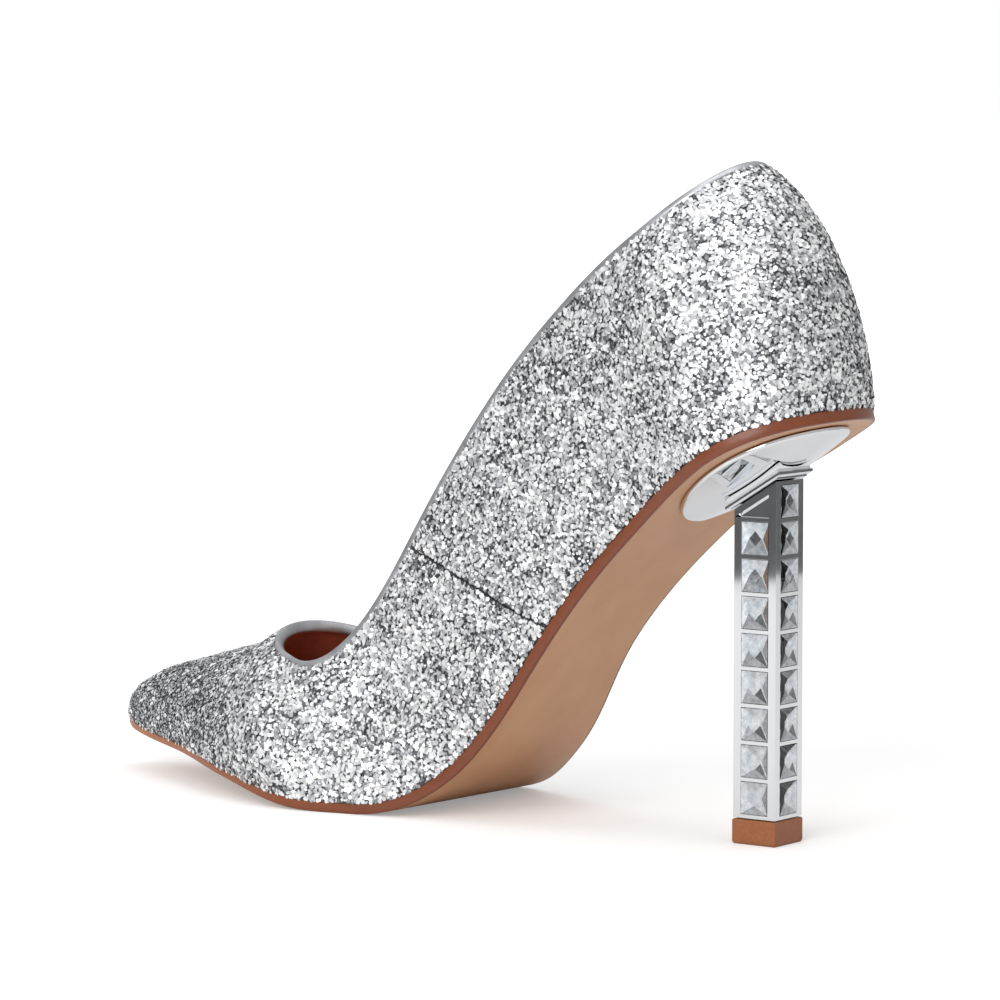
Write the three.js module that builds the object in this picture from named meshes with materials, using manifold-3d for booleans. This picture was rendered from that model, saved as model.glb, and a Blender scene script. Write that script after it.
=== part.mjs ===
// A left high heel pump with a pointed toe, a glitter upper and a square heel column set with crystals.
// Millimetres. +X runs from the heel to the toe, +Y to the wearer's left (the outer side) and +Z up.
// The origin is the centre of the heel tip's ground face.
//
// Two families of surface give every curved piece its shape:
//   the sole sheet, which follows the foot's arch, with n as the height above the outsole's top face;
//   the wall surface, which rises from the sheet's edge to the ridge over the foot. A layer of the upper
//   lies at an inset from it, and the topline is cut at a drop below the shoe's finished edge.
import * as THREE from "three";
import { mergeVertices } from "three/addons/utils/BufferGeometryUtils.js";
import { ConvexGeometry } from "three/addons/geometries/ConvexGeometry.js";
import Module from "manifold-3d";

// ---- Driving dimensions -------------------------------------------------------------------------

const GAP = 0.3; // between two pieces that touch
const SOLE_GAP = 0.4; // between the upper's turned-in margin and the outsole
const SOLE_LENGTH = 265; // along the curve of the sole, from the back of the heel to the toe
const FITTING = 1; // the last's widths, as a share of a medium fitting's
const HEEL_BACK_X = -22.9; // the sole's rearmost point, behind the centre of the heel tip
const HEEL_ROUND = 26.5; // length of the rounded back of the heel seat
const HEEL_ROUND_POWER = 2.2; // 2 would be an ellipse; more is squarer
const TOE_ROUND = 7.7; // length of the sole's rounded toe end
const TOE_DROP_ROUND = 6; // length over which the upper closes down at the toe
const TOE_BACK_PER_INSET = 3; // how far a layer's toe stays back, for each millimetre of inset

const OUTSOLE_HEEL = 2.9;
const OUTSOLE_BALL = 2.6;
const OUTSOLE_TOE = 1.85;
const UPPER_THICKNESS = 1.2;
const STIFFENER_THICKNESS = 0.8;
const SKIVED_THICKNESS = 0.25; // a stiffener or pad at its pared edge
const LINING_THICKNESS = 0.8;
const LINING_EASE = 0.15; // room between the upper and its lining, besides the gap
const LASTING_MARGIN = 10; // how far the upper turns in under the insole board
const LASTING_SHARE = 0.45; // the most of the half width that the margin may take
const BOARD_THICKNESS = 2;
const BOARD_CLEARANCE = 0.8; // from the upper's inner face
const SOCK_THICKNESS = 0.7;
const SOCK_CLEARANCE = 0.6;
const SOCK_OVER_PAD = 0.45;
const PAD_THICKNESS = 1.9;
const PAD_START = 7;
const PAD_END = 0.226 * SOLE_LENGTH;
const SOCK_COLUMNS = 6; // the sock lining and the pad under it share one grid across the shoe
const PAD_COLUMNS = 4;
const PAD_WIDTH_SHARE = PAD_COLUMNS / SOCK_COLUMNS;
const BINDING_WIDTH = 1.9;
const BINDING_PROUD = 0.25;

const THROAT = 0.7275 * SOLE_LENGTH; // where the opening ends on the ridge, along the sole
const SEAM_FOOT = 0.34 * SOLE_LENGTH; // where the vamp seam starts at the sole's edge
const SEAM_HEAD = 0.4245 * SOLE_LENGTH; // where the same seam meets the topline: it leans towards the toe
const SEAM_BOW = 0.8; // below 1 the seam bows towards the toe on its way up
const TOE_PUFF_START = 0.8 * SOLE_LENGTH;
const COUNTER_END = 0.28 * SOLE_LENGTH;
const COUNTER_RISE = 0.72; // how much of the wall's height the counter covers
const COUNTER_FADE = 0.15; // the share of that height over which it is pared
const STIFFENER_FADE = 12; // length over which the lining comes back to the upper

const SHANK_START = LASTING_MARGIN + 2; // clear of the margin that turns in behind the heel
const SHANK_END = 0.596 * SOLE_LENGTH;
const SHANK_WIDTH = 12;
const SHANK_THICKNESS = 1;
const FILLER_START = 0.634 * SOLE_LENGTH;
const FILLER_END = 0.898 * SOLE_LENGTH;
const FILLER_MARGIN = 1.2;
const RIVET_RADIUS = 1.4;
const RIVET_PLACES = [0.317 * SOLE_LENGTH, 0.528 * SOLE_LENGTH];

const PLATE_CENTRE = 29; // along the sole
const PLATE_HALF_LENGTH = 23.4;
const PLATE_HALF_WIDTH = 19.6;
const PLATE_RIM = 0.9;
const PLATE_DOME = 3.7;

const TIP_WIDTH = 11.9;
const TIP_HEIGHT = 5.85;
const TIP_BORE_FLOOR = 2;
const PIN_RADIUS = 1.3;
const PIN_TOP = 20;
const COLUMN_WIDTH = 11.5;
const COLUMN_YAW_DEGREES = 2.3;
const CORE_RADIUS = 2.6;
const CAPITAL_SLANT_DEGREES = 31;
const CAPITAL_HEIGHT = 2.2; // from its slanted underside to the plate's dome, at the centre
const CAPITAL_MEETS = 8; // its sides are drawn up this far, and then cut by the dome
const CAPITAL_PROFILE = [
  // height above the underside, half width
  [0, 6.3],
  [0.45, 6.3],
  [0.5, 7.3],
  [1.15, 7.3],
  [1.5, 6.95],
  [2.1, 6.8],
  [2.7, 7.15],
  [3.1, 7.75],
];

const BACK_STONES = 9;
const SIDE_STONES = 8;
const STONE_BAR = 0.9; // metal between two stones
const WINDOW_WIDTH = 7.4;
const WINDOW_DEPTH = 1.3;
const STONE_CLEARANCE = 0.15;
const STONE_CROWN = 0.55;
const STONE_TABLE = 0.62; // the table's half diagonal as a share of the half width

const SCREW_RADIUS = 1.3;
const SCREW_HEAD_RADIUS = 2.6;
const SCREW_HEAD_HEIGHT = 2;
const SCREW_REACH = 26; // below the head
const NAIL_RADIUS = 0.8;
const NAIL_BITE = 1.2; // into the heel plate
const NAIL_PLACES = [
  // along the sole, across
  [17, 9],
  [17, -9],
  [41, 9],
  [41, -9],
];

// ---- Curves of the last, as shares of the sole's length ------------------------------------------

const TREAD_SHARES = [0.637, 0.65]; // the flat stretch under the ball of the foot
const SLOPE_DEGREES = [
  [0, 14],
  [0.1, 30.7],
  [0.24, 44.7],
  [0.4, 54.2],
  [0.54, 35.2],
  [TREAD_SHARES[0], 0],
  [TREAD_SHARES[1], 0],
  [0.71, -9.7],
  [0.8, -8.9],
  [0.9, -3.4],
  [1, -9],
];
const OUTER_HALF_WIDTH = [
  [0.1, 25.9],
  [0.22, 21.5],
  [0.36, 22],
  [0.5, 22.2],
  [0.62, 28.8],
  [0.7, 33],
  [0.78, 28.7],
  [0.88, 17.7],
  [0.95, 9.8],
  [1, 3.4],
];
const INNER_HALF_WIDTH = [
  [0.1, 25.9],
  [0.22, 19.9],
  [0.36, 15.1],
  [0.5, 23.8],
  [0.62, 32.3],
  [0.7, 33],
  [0.78, 29.7],
  [0.88, 21.7],
  [0.95, 12.1],
  [1, 3.4],
];
const OUTSOLE_THICKNESS = [
  [0, OUTSOLE_HEEL],
  [0.5, OUTSOLE_HEEL],
  [TREAD_SHARES[0], OUTSOLE_BALL],
  [TREAD_SHARES[1], OUTSOLE_BALL],
  [0.8, OUTSOLE_TOE],
  [1, OUTSOLE_TOE],
];
const RIDGE_HEIGHT = [
  [0, 67.4],
  [0.1, 75],
  [0.25, 77],
  [0.4, 78],
  [0.55, 66.6],
  [0.65, 47.2],
  [0.72, 39.9],
  [0.8, 28.3],
  [0.88, 20.6],
  [0.95, 14.6],
  [1, 6.8],
];
const BULGE_FULL_FROM = 12; // half width from which the wall's bulge is full
const RIDGE_SHIFT_SHARE = 0.75; // the most of the half width that the ridge's shift may take
const RIDGE_SHIFT = [
  [0, 0],
  [0.1, 0],
  [0.4, -0.3],
  [0.7, -0.9],
  [1, -6],
];
const WALL_LEAN_DEGREES = [
  [0, 15.7],
  [0.1, 26],
  [0.3, 34.8],
  [0.5, 44.7],
  [0.65, 30.8],
  [0.8, 11.4],
  [1, 4.3],
];
const WALL_SQUARENESS = [
  [0, 0.99],
  [0.1, 0.99],
  [0.35, 0.93],
  [0.6, 0.91],
  [0.8, 1.1],
  [1, 1],
];
const RIDGE_SHARPNESS = [
  [0, 1.19],
  [0.1, 1.07],
  [0.35, 1.02],
  [0.6, 0.87],
  [0.8, 1.05],
  [1, 1],
];
const WALL_BULGE = [
  [0, 6.2],
  [0.1, 2.8],
  [0.35, 0.75],
  [0.6, 3.5],
  [0.8, 1.4],
  [1, 1.2],
];
const OUTER_TOPLINE = [
  [0, 61.4],
  [0.1, 54.4],
  [0.22, 53.4],
  [0.36, 49.8],
  [0.5, 44],
  [0.62, 40.3],
];
const INNER_TOPLINE = [
  [0, 61.4],
  [0.1, 55.2],
  [0.22, 55.4],
  [0.36, 51],
  [0.5, 46],
  [0.62, 42.8],
];

// ---- Small mathematics ---------------------------------------------------------------------------

const wasm = await Module();
wasm.setup();

const radians = (degrees) => (degrees * Math.PI) / 180;
const mix = (a, b, t) => a + (b - a) * t;
const clamp01 = (t) => Math.min(1, Math.max(0, t));
const QUARTER_TURN = Math.PI / 2;

function smoothStep(from, to, value) {
  const t = clamp01((value - from) / (to - from));
  return t * t * (3 - 2 * t);
}

function steps(from, to, count, ease = (t) => t) {
  return Array.from({ length: count + 1 }, (_, i) => mix(from, to, ease(i / count)));
}

// A smooth curve through the points that never overshoots them: cubic pieces with monotone slopes.
function smoothThrough(points) {
  const last = points.length - 1;
  const rise = (i) => (points[i + 1][1] - points[i][1]) / (points[i + 1][0] - points[i][0]);
  const slopes = points.map((_, i) => {
    if (i === 0) return rise(0);
    if (i === last) return rise(last - 1);
    const before = rise(i - 1);
    const after = rise(i);
    return before * after <= 0 ? 0 : (2 * before * after) / (before + after);
  });
  return (x) => {
    if (x <= points[0][0]) return points[0][1];
    if (x >= points[last][0]) return points[last][1];
    let i = 0;
    while (x > points[i + 1][0]) i += 1;
    const width = points[i + 1][0] - points[i][0];
    const t = (x - points[i][0]) / width;
    const bend = (1 - t) * (1 - t);
    return (
      (1 + 2 * t) * bend * points[i][1] +
      t * bend * width * slopes[i] +
      t * t * (3 - 2 * t) * points[i + 1][1] +
      t * t * (t - 1) * width * slopes[i + 1]
    );
  };
}

const alongSole = (points) => smoothThrough(points.map(([share, value]) => [share * SOLE_LENGTH, value]));

// ---- The sole sheet ------------------------------------------------------------------------------

const slopeAt = alongSole(SLOPE_DEGREES.map(([share, degrees]) => [share, radians(degrees)]));
const outsoleThickness = alongSole(OUTSOLE_THICKNESS);
const fitted = ([share, width]) => [share, width * FITTING];
const halfWidths = {
  1: alongSole(OUTER_HALF_WIDTH.map(fitted)),
  "-1": alongSole(INNER_HALF_WIDTH.map(fitted)),
};

// The sheet's middle line, walked in short steps and then lowered until the outsole meets the ground.
function walkSole() {
  const stride = 0.5;
  const count = Math.round(SOLE_LENGTH / stride);
  const line = [{ x: HEEL_BACK_X, z: 0 }];
  for (let i = 0; i < count; i += 1) {
    const slope = slopeAt(((i + 0.5) * SOLE_LENGTH) / count);
    const length = SOLE_LENGTH / count;
    const from = line[i];
    line.push({ x: from.x + length * Math.cos(slope), z: from.z - length * Math.sin(slope) });
  }
  const underside = line.map((point, i) => {
    const s = (i * SOLE_LENGTH) / count;
    return point.z - outsoleThickness(s) * Math.cos(slopeAt(s));
  });
  const lowest = Math.min(...underside);
  return line.map((point) => new THREE.Vector3(point.x, 0, point.z - lowest));
}

const soleLine = walkSole();

function middle(s) {
  const place = clamp01(s / SOLE_LENGTH) * (soleLine.length - 1);
  const i = Math.min(soleLine.length - 2, Math.floor(place));
  return soleLine[i].clone().lerp(soleLine[i + 1], place - i);
}

const sideways = new THREE.Vector3(0, 1, 0);
const upFrom = (slope) => new THREE.Vector3(Math.sin(slope), 0, Math.cos(slope));
const forwardAt = (slope) => new THREE.Vector3(Math.cos(slope), 0, -Math.sin(slope));

// A point of the sole sheet: s along it, y across and n above the outsole's top face.
function solePoint(s, y, n) {
  return middle(s).addScaledVector(sideways, y).addScaledVector(upFrom(slopeAt(s)), n);
}

const toeEnd = (inset) => SOLE_LENGTH - TOE_BACK_PER_INSET * inset;

function toeCap(s, inset, length) {
  const into = clamp01((s - (toeEnd(inset) - length)) / length);
  return Math.sqrt(Math.max(0, 1 - into * into));
}

// Half the sole's width on one side, at an inset from its edge.
function halfWidth(side, s, inset) {
  const width = halfWidths[side](Math.max(s, HEEL_ROUND)) - inset;
  if (s >= HEEL_ROUND) return width * toeCap(s, inset, TOE_ROUND);
  const back = clamp01((HEEL_ROUND - s) / (HEEL_ROUND - inset));
  return width * Math.sqrt(Math.max(0, 1 - back ** HEEL_ROUND_POWER));
}

// Stations along a sheet, closer together at its round ends.
function sheetStations(inset) {
  const heel = steps(0, QUARTER_TURN, 6).map(
    (turn) => HEEL_ROUND - (HEEL_ROUND - inset) * Math.cos(turn) ** (2 / HEEL_ROUND_POWER),
  );
  const flat = TREAD_SHARES.map((share) => share * SOLE_LENGTH);
  const waist = steps(HEEL_ROUND, flat[0], 18).slice(1);
  const toe = steps(flat[1], toeEnd(inset), 12, (t) => 1 - (1 - t) ** 1.5);
  return [...heel, ...waist, ...toe];
}

// ---- The wall surface ----------------------------------------------------------------------------

const ridgeHeight = alongSole(RIDGE_HEIGHT);
const ridgeShift = alongSole(RIDGE_SHIFT);
const wallLean = alongSole(WALL_LEAN_DEGREES.map(([share, degrees]) => [share, radians(degrees)]));
const wallSquareness = alongSole(WALL_SQUARENESS);
const ridgeSharpness = alongSole(RIDGE_SHARPNESS);
const wallBulge = alongSole(WALL_BULGE);
const toplines = { 1: OUTER_TOPLINE, "-1": INNER_TOPLINE };

// The height of the cut edge, at a drop below the finished topline. It meets the ridge at the throat.
function toplineAt(side, drop) {
  const throat = THROAT + drop;
  const points = toplines[side].map(([share, height]) => [share * SOLE_LENGTH, height - drop]);
  return smoothThrough([...points, [throat, ridgeHeight(throat)]]);
}

// How far up the wall's curve the cut edge lies, as an angle: a quarter turn is the ridge.
function edgeAngle(side, s, drop, edge) {
  if (s >= THROAT + drop) return QUARTER_TURN;
  const share = clamp01(edge(s) / ridgeHeight(s));
  return Math.asin(share ** (1 / ridgeSharpness(s)));
}

// A wall runs from its foot, at a lift over the sole sheet, to its edge. This is the angle and the height
// at a share of that way, for a layer whose ridge would be at the height top.
function climbAt(s, rise, edge, top, lift) {
  const footHeight = lift / Math.cos(wallLean(s) - slopeAt(s));
  const footShare = top > 0 ? Math.min(1, footHeight / top) : 1;
  const start = Math.asin(footShare ** (1 / ridgeSharpness(s)));
  const angle = mix(start, Math.max(start, edge), rise);
  return { angle, height: Math.max(footHeight, top * Math.sin(angle) ** ridgeSharpness(s)) };
}

// A wall point beside the heel's straight part or the forefoot.
function sideWall(side, s, rise, edge, inset, lift) {
  const top = (ridgeHeight(s) - inset) * toeCap(s, inset, TOE_DROP_ROUND);
  const { angle, height } = climbAt(s, rise, edge, top, lift);
  const narrower = Math.min(halfWidth(1, s, inset), halfWidth(-1, s, inset));
  const shift = Math.max(ridgeShift(s), -RIDGE_SHIFT_SHARE * narrower);
  const across = Math.max(0, halfWidth(side, s, inset) - side * shift);
  const bulge = wallBulge(s) * Math.min(1, across / BULGE_FULL_FROM) * Math.sin(2 * angle);
  const y = across * Math.cos(angle) ** wallSquareness(s) + bulge;
  return solePoint(s, shift + side * y, 0).addScaledVector(upFrom(wallLean(s)), height);
}

// Where a turn round the back of the heel lies on the sole: its place along and across, and its distance
// from the middle of the rounded part.
function heelPlace(side, turn) {
  const along = HEEL_ROUND * Math.cos(turn) ** (2 / HEEL_ROUND_POWER);
  const y = halfWidths[side](HEEL_ROUND) * Math.sin(turn);
  return { s: HEEL_ROUND - along, y, along, radius: Math.hypot(along, y) };
}

function heelWall(side, turn, rise, edge, inset, lift) {
  const { s, y, along, radius } = heelPlace(side, turn);
  const { angle, height } = climbAt(s, rise, edge, ridgeHeight(s) - inset, lift);
  const outward = forwardAt(wallLean(s))
    .multiplyScalar(-along / radius)
    .addScaledVector(sideways, (side * y) / radius);
  const curve = (radius - inset) * Math.cos(angle) ** wallSquareness(s);
  const reach = curve + wallBulge(s) * Math.sin(2 * angle) - radius;
  return solePoint(s, side * y, 0)
    .addScaledVector(outward, reach)
    .addScaledVector(upFrom(wallLean(s)), height);
}

// A station is a place where a wall is sampled from foot to edge: either a pair of distances along the
// sole, at its foot and its edge, or a turn round the back of the heel.
function stationPoint(station, rise, inset, lift) {
  const { side, turn, edgeAngle } = station;
  if (turn !== undefined) return heelWall(side, turn, rise, edgeAngle, inset, lift);
  const along = mix(station.foot, station.head, rise ** SEAM_BOW);
  return sideWall(side, along, rise, edgeAngle, inset, lift);
}

function stationFoot(station) {
  return station.turn === undefined ? station.foot : heelPlace(1, station.turn).s;
}

function sideStation(side, foot, head, drop, edge) {
  return { side, foot, head, edgeAngle: edgeAngle(side, head, drop, edge) };
}

// The upper's layers and the binding are sampled at the same places, so their facets lie side by side.
const VAMP_STEPS = 14;
const QUARTER_STEPS = 8;
const HEEL_STEPS = 7;
const TOE_STEPS = 9;
const RISES = steps(0, 1, 9);

// Places along the ridge from the throat to the toe, closer together towards the toe.
function toePlaces(inset, drop) {
  return steps(THROAT + drop, toeEnd(inset), TOE_STEPS, (t) => 1 - (1 - t) ** 1.5).slice(1);
}

// Stations of the vamp, from the seam on the outer side round the toe to the seam on the inner side.
function vampStations(inset, drop) {
  const throat = THROAT + drop;
  const feet = steps(SEAM_FOOT, throat, VAMP_STEPS);
  const heads = steps(SEAM_HEAD, throat, VAMP_STEPS, (t) => 1 - (1 - t) ** 2);
  const half = (side) => {
    const edge = toplineAt(side, drop);
    return [
      ...feet.map((foot, i) => sideStation(side, foot, heads[i], drop, edge)),
      ...toePlaces(inset, drop).map((s) => sideStation(side, s, s, drop, edge)),
    ];
  };
  return [...half(1), ...half(-1).reverse()];
}

// Stations of the quarter, from the seam on the outer side round the heel to the inner side's seam.
function quarterStations(footEnd, headEnd, drop, sideCount) {
  const feet = steps(footEnd, HEEL_ROUND, sideCount);
  const heads = steps(headEnd, HEEL_ROUND, sideCount);
  const turns = steps(QUARTER_TURN, 0, HEEL_STEPS).slice(1);
  const half = (side) => {
    const edge = toplineAt(side, drop);
    return [
      ...feet.map((foot, i) => sideStation(side, foot, heads[i], drop, edge)),
      ...turns.map((turn) => {
        const { s } = heelPlace(side, turn);
        return { side, turn, edgeAngle: edgeAngle(side, s, drop, edge) };
      }),
    ];
  };
  return [...half(1), ...half(-1).reverse().slice(1)];
}

// ---- Solids --------------------------------------------------------------------------------------

const pointKey = (point) => point.toArray().map((value) => Math.round(value * 1e4)).join();

// A closed solid between two grids of points of the same size: two skins, and a band round their border.
function solidBetween(front, back) {
  const columns = front[0].length;
  const keys = new Map();
  const points = [];
  const ids = front.flat().map((point, i) => {
    const other = back[Math.floor(i / columns)][i % columns];
    const key = pointKey(point) + "|" + pointKey(other);
    if (!keys.has(key)) {
      keys.set(key, points.length);
      points.push([point, other]);
    }
    return keys.get(key);
  });
  const faces = [];
  const addFace = (a, b, c) => {
    if (a !== b && b !== c && c !== a) faces.push([a, b, c]);
  };
  for (let row = 0; row + 1 < front.length; row += 1) {
    for (let column = 0; column + 1 < columns; column += 1) {
      const a = ids[row * columns + column];
      const b = ids[row * columns + column + 1];
      const c = ids[(row + 1) * columns + column + 1];
      const d = ids[(row + 1) * columns + column];
      addFace(a, b, c);
      addFace(a, c, d);
    }
  }
  const edges = new Set();
  for (const [a, b, c] of faces) [[a, b], [b, c], [c, a]].forEach(([p, q]) => edges.add(p + "," + q));
  const far = points.length;
  const triangles = faces.flatMap(([a, b, c]) => [a, b, c, c + far, b + far, a + far]);
  for (const edge of edges) {
    const [p, q] = edge.split(",").map(Number);
    if (!edges.has(q + "," + p)) triangles.push(q, p, p + far, q, p + far, q + far);
  }
  const all = [...points.map((pair) => pair[0]), ...points.map((pair) => pair[1])];
  return facingOut(geometryOf(all, triangles));
}

function geometryOf(points, triangles) {
  const geometry = new THREE.BufferGeometry().setFromPoints(points);
  geometry.setIndex(triangles);
  return geometry;
}

function signedVolume(geometry) {
  const place = geometry.getAttribute("position");
  const index = geometry.getIndex().array;
  const [a, b, c] = [new THREE.Vector3(), new THREE.Vector3(), new THREE.Vector3()];
  let volume = 0;
  for (let i = 0; i < index.length; i += 3) {
    a.fromBufferAttribute(place, index[i]);
    b.fromBufferAttribute(place, index[i + 1]);
    c.fromBufferAttribute(place, index[i + 2]);
    volume += a.dot(b.cross(c)) / 6;
  }
  return volume;
}

function facingOut(geometry) {
  if (signedVolume(geometry) < 0) {
    const index = geometry.getIndex().array;
    for (let i = 0; i < index.length; i += 3) [index[i], index[i + 1]] = [index[i + 1], index[i]];
  }
  return geometry;
}

function toManifold(geometry) {
  const bare = geometry.clone();
  bare.deleteAttribute("normal");
  bare.deleteAttribute("uv");
  const merged = mergeVertices(bare, 1e-4);
  return new wasm.Manifold(
    new wasm.Mesh({
      numProp: 3,
      vertProperties: merged.attributes.position.array,
      triVerts: new Uint32Array(merged.index.array),
    }),
  );
}

function toGeometry(solid) {
  const mesh = solid.getMesh();
  const geometry = new THREE.BufferGeometry();
  geometry.setAttribute("position", new THREE.BufferAttribute(mesh.vertProperties, 3));
  geometry.setIndex(new THREE.BufferAttribute(mesh.triVerts, 1));
  return geometry;
}

// The geometry with every tool cut out of it.
function cut(geometry, tools) {
  return toGeometry(tools.reduce((solid, tool) => solid.subtract(toManifold(tool)), toManifold(geometry)));
}

function joined(geometries) {
  return toGeometry(geometries.map(toManifold).reduce((whole, next) => whole.add(next)));
}

const metal = (color, roughness) => new THREE.MeshStandardMaterial({ color, roughness, metalness: 1 });
const plain = (color, roughness) => new THREE.MeshStandardMaterial({ color, roughness, metalness: 0 });

const pump = new THREE.Group();

function addPiece(name, geometry, material, parent = pump) {
  const mesh = new THREE.Mesh(geometry, material);
  mesh.name = name;
  parent.add(mesh);
  return mesh;
}

// ---- Sheets that follow the sole -----------------------------------------------------------------

// A slab of the sole sheet. Its faces are at heights that may depend on the place along and across.
function slab(stations, widthShare, inset, bottomAt, topAt, columns) {
  const shares = steps(-1, 1, columns);
  const rowAt = (s, heightAt) =>
    shares.map((share) => {
      const side = share < 0 ? -1 : 1;
      const y = share * widthShare * halfWidth(side, s, inset);
      return solePoint(s, y, heightAt(s, share));
    });
  const bottom = stations.map((s) => rowAt(s, bottomAt));
  const top = stations.map((s) => rowAt(s, topAt));
  return solidBetween(bottom, top);
}

// A strip of the sole sheet with straight sides.
function strip(stations, halfWidthMm, bottom, top) {
  const sides = [-halfWidthMm, halfWidthMm];
  const rowAt = (s, n) => sides.map((y) => solePoint(s, y, n));
  return solidBetween(
    stations.map((s) => rowAt(s, bottom)),
    stations.map((s) => rowAt(s, top)),
  );
}

const BOARD_BOTTOM = UPPER_THICKNESS + GAP;
const BOARD_TOP = BOARD_BOTTOM + BOARD_THICKNESS;
const BOARD_INSET = UPPER_THICKNESS + BOARD_CLEARANCE;
const INSIDE_FLOOR = BOARD_TOP + GAP;
const STIFFENER_INSET = UPPER_THICKNESS + GAP;
const LINING_INSET = STIFFENER_INSET + LINING_EASE;
const LINING_STEP = STIFFENER_THICKNESS + GAP;
const LINING_INSIDE = LINING_INSET + LINING_STEP + LINING_THICKNESS;
const SOCK_INSET = LINING_INSIDE + SOCK_CLEARANCE;
const SHANK_BOTTOM = (UPPER_THICKNESS - SHANK_THICKNESS) / 2;
const EDGE_DROP = BINDING_WIDTH + 2 * GAP;

// A cylinder along a direction, from one point to another.
function rod(from, to, radius, sides) {
  const span = to.clone().sub(from);
  const geometry = new THREE.CylinderGeometry(radius, radius, span.length(), sides);
  const turn = new THREE.Quaternion().setFromUnitVectors(sideways, span.clone().normalize());
  geometry.applyQuaternion(turn);
  const centre = from.clone().add(to).multiplyScalar(0.5);
  return geometry.translate(centre.x, centre.y, centre.z);
}

function normalRod([s, y], bottom, top, radius, sides) {
  return rod(solePoint(s, y, bottom), solePoint(s, y, top), radius, sides);
}

// The height at which a surface of the sole's middle line, given by its place along, stands over x.
function heightOver(x, pointAt) {
  const step = 0.1;
  let s = 0;
  while (pointAt(s).x < x) s += step;
  return pointAt(s).z;
}

// The heel screw stands upright over the column. Its head is sunk in the board's sloping top face.
const SCREW_HEAD_TOP = heightOver(SCREW_HEAD_RADIUS + GAP, (s) => solePoint(s, 0, BOARD_TOP)) - GAP;
const SCREW_HEAD_BOTTOM = SCREW_HEAD_TOP - SCREW_HEAD_HEIGHT;
const HEAD_ROOM = 20; // the screw's bore is cut this far above its head

const upright = (bottom, top, radius, sides) =>
  rod(new THREE.Vector3(0, 0, bottom), new THREE.Vector3(0, 0, top), radius, sides);

const nailBottom = ([s]) => -(outsoleThickness(s) + GAP + NAIL_BITE);

const HOLE_SIDES = 12;
const HOLE_RADIUS_FACTOR = 1 / Math.cos(Math.PI / HOLE_SIDES); // flats of a hole stay off its pin
const holeRadius = (radius) => (radius + GAP) * HOLE_RADIUS_FACTOR;

function nailHoles() {
  return NAIL_PLACES.map((place) =>
    normalRod(place, nailBottom(place) - GAP, BOARD_TOP + 1, holeRadius(NAIL_RADIUS), HOLE_SIDES),
  );
}

function rivetHoles() {
  const radius = holeRadius(RIVET_RADIUS);
  return RIVET_PLACES.map((s) => normalRod([s, 0], -GAP, BOARD_TOP + 1, radius, HOLE_SIDES));
}

function screwHole() {
  const end = SCREW_HEAD_BOTTOM - SCREW_REACH;
  const shaft = upright(end, SCREW_HEAD_TOP, holeRadius(SCREW_RADIUS), HOLE_SIDES);
  const bottom = SCREW_HEAD_BOTTOM - GAP;
  const head = upright(bottom, bottom + HEAD_ROOM, holeRadius(SCREW_HEAD_RADIUS), HOLE_SIDES);
  return [shaft, head];
}

function outsole() {
  const body = slab(
    sheetStations(0),
    1,
    0,
    (s) => -outsoleThickness(s),
    () => -SOLE_GAP,
    4,
  );
  return cut(body, [...nailHoles(), ...screwHole()]);
}

function insoleBoard() {
  const body = slab(
    sheetStations(BOARD_INSET),
    1,
    BOARD_INSET,
    () => BOARD_BOTTOM,
    () => BOARD_TOP,
    4,
  );
  return cut(body, [...nailHoles(), ...rivetHoles(), ...screwHole()]);
}

function shank() {
  const stations = steps(SHANK_START, SHANK_END, 16);
  const body = strip(stations, SHANK_WIDTH / 2, SHANK_BOTTOM, SHANK_BOTTOM + SHANK_THICKNESS);
  return cut(body, [...rivetHoles(), ...screwHole()]);
}

function bottomFiller() {
  const free = (s, side) => {
    const width = halfWidth(side, s, 0);
    return width - Math.min(LASTING_MARGIN, LASTING_SHARE * width) - FILLER_MARGIN;
  };
  const rowAt = (s, n) => [solePoint(s, -free(s, -1), n), solePoint(s, 0, n), solePoint(s, free(s, 1), n)];
  const stations = steps(FILLER_START, FILLER_END, 12);
  return solidBetween(
    stations.map((s) => rowAt(s, SHANK_BOTTOM)),
    stations.map((s) => rowAt(s, SHANK_BOTTOM + SHANK_THICKNESS)),
  );
}

// The heel pad's swelling: full in its middle and nothing at its edges.
function padSwell(s, share) {
  const across = clamp01(Math.abs(share) / PAD_WIDTH_SHARE);
  const fade = (PAD_END - PAD_START) / 3;
  const along = smoothStep(PAD_START, PAD_START + fade, s) * (1 - smoothStep(PAD_END - fade, PAD_END, s));
  return PAD_THICKNESS * along * (1 - across * across) ** 2;
}

function heelPad() {
  return slab(
    sheetStations(SOCK_INSET).filter((s) => s > PAD_START && s < PAD_END),
    PAD_WIDTH_SHARE,
    SOCK_INSET,
    () => INSIDE_FLOOR,
    (s, share) => INSIDE_FLOOR + SKIVED_THICKNESS + padSwell(s, share * PAD_WIDTH_SHARE),
    PAD_COLUMNS,
  );
}

function sockLining() {
  const bottom = (s, share) => INSIDE_FLOOR + SKIVED_THICKNESS + SOCK_OVER_PAD + padSwell(s, share);
  return slab(
    sheetStations(SOCK_INSET),
    1,
    SOCK_INSET,
    bottom,
    (s, share) => bottom(s, share) + SOCK_THICKNESS,
    SOCK_COLUMNS,
  );
}

// ---- Layers of the upper -------------------------------------------------------------------------

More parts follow.
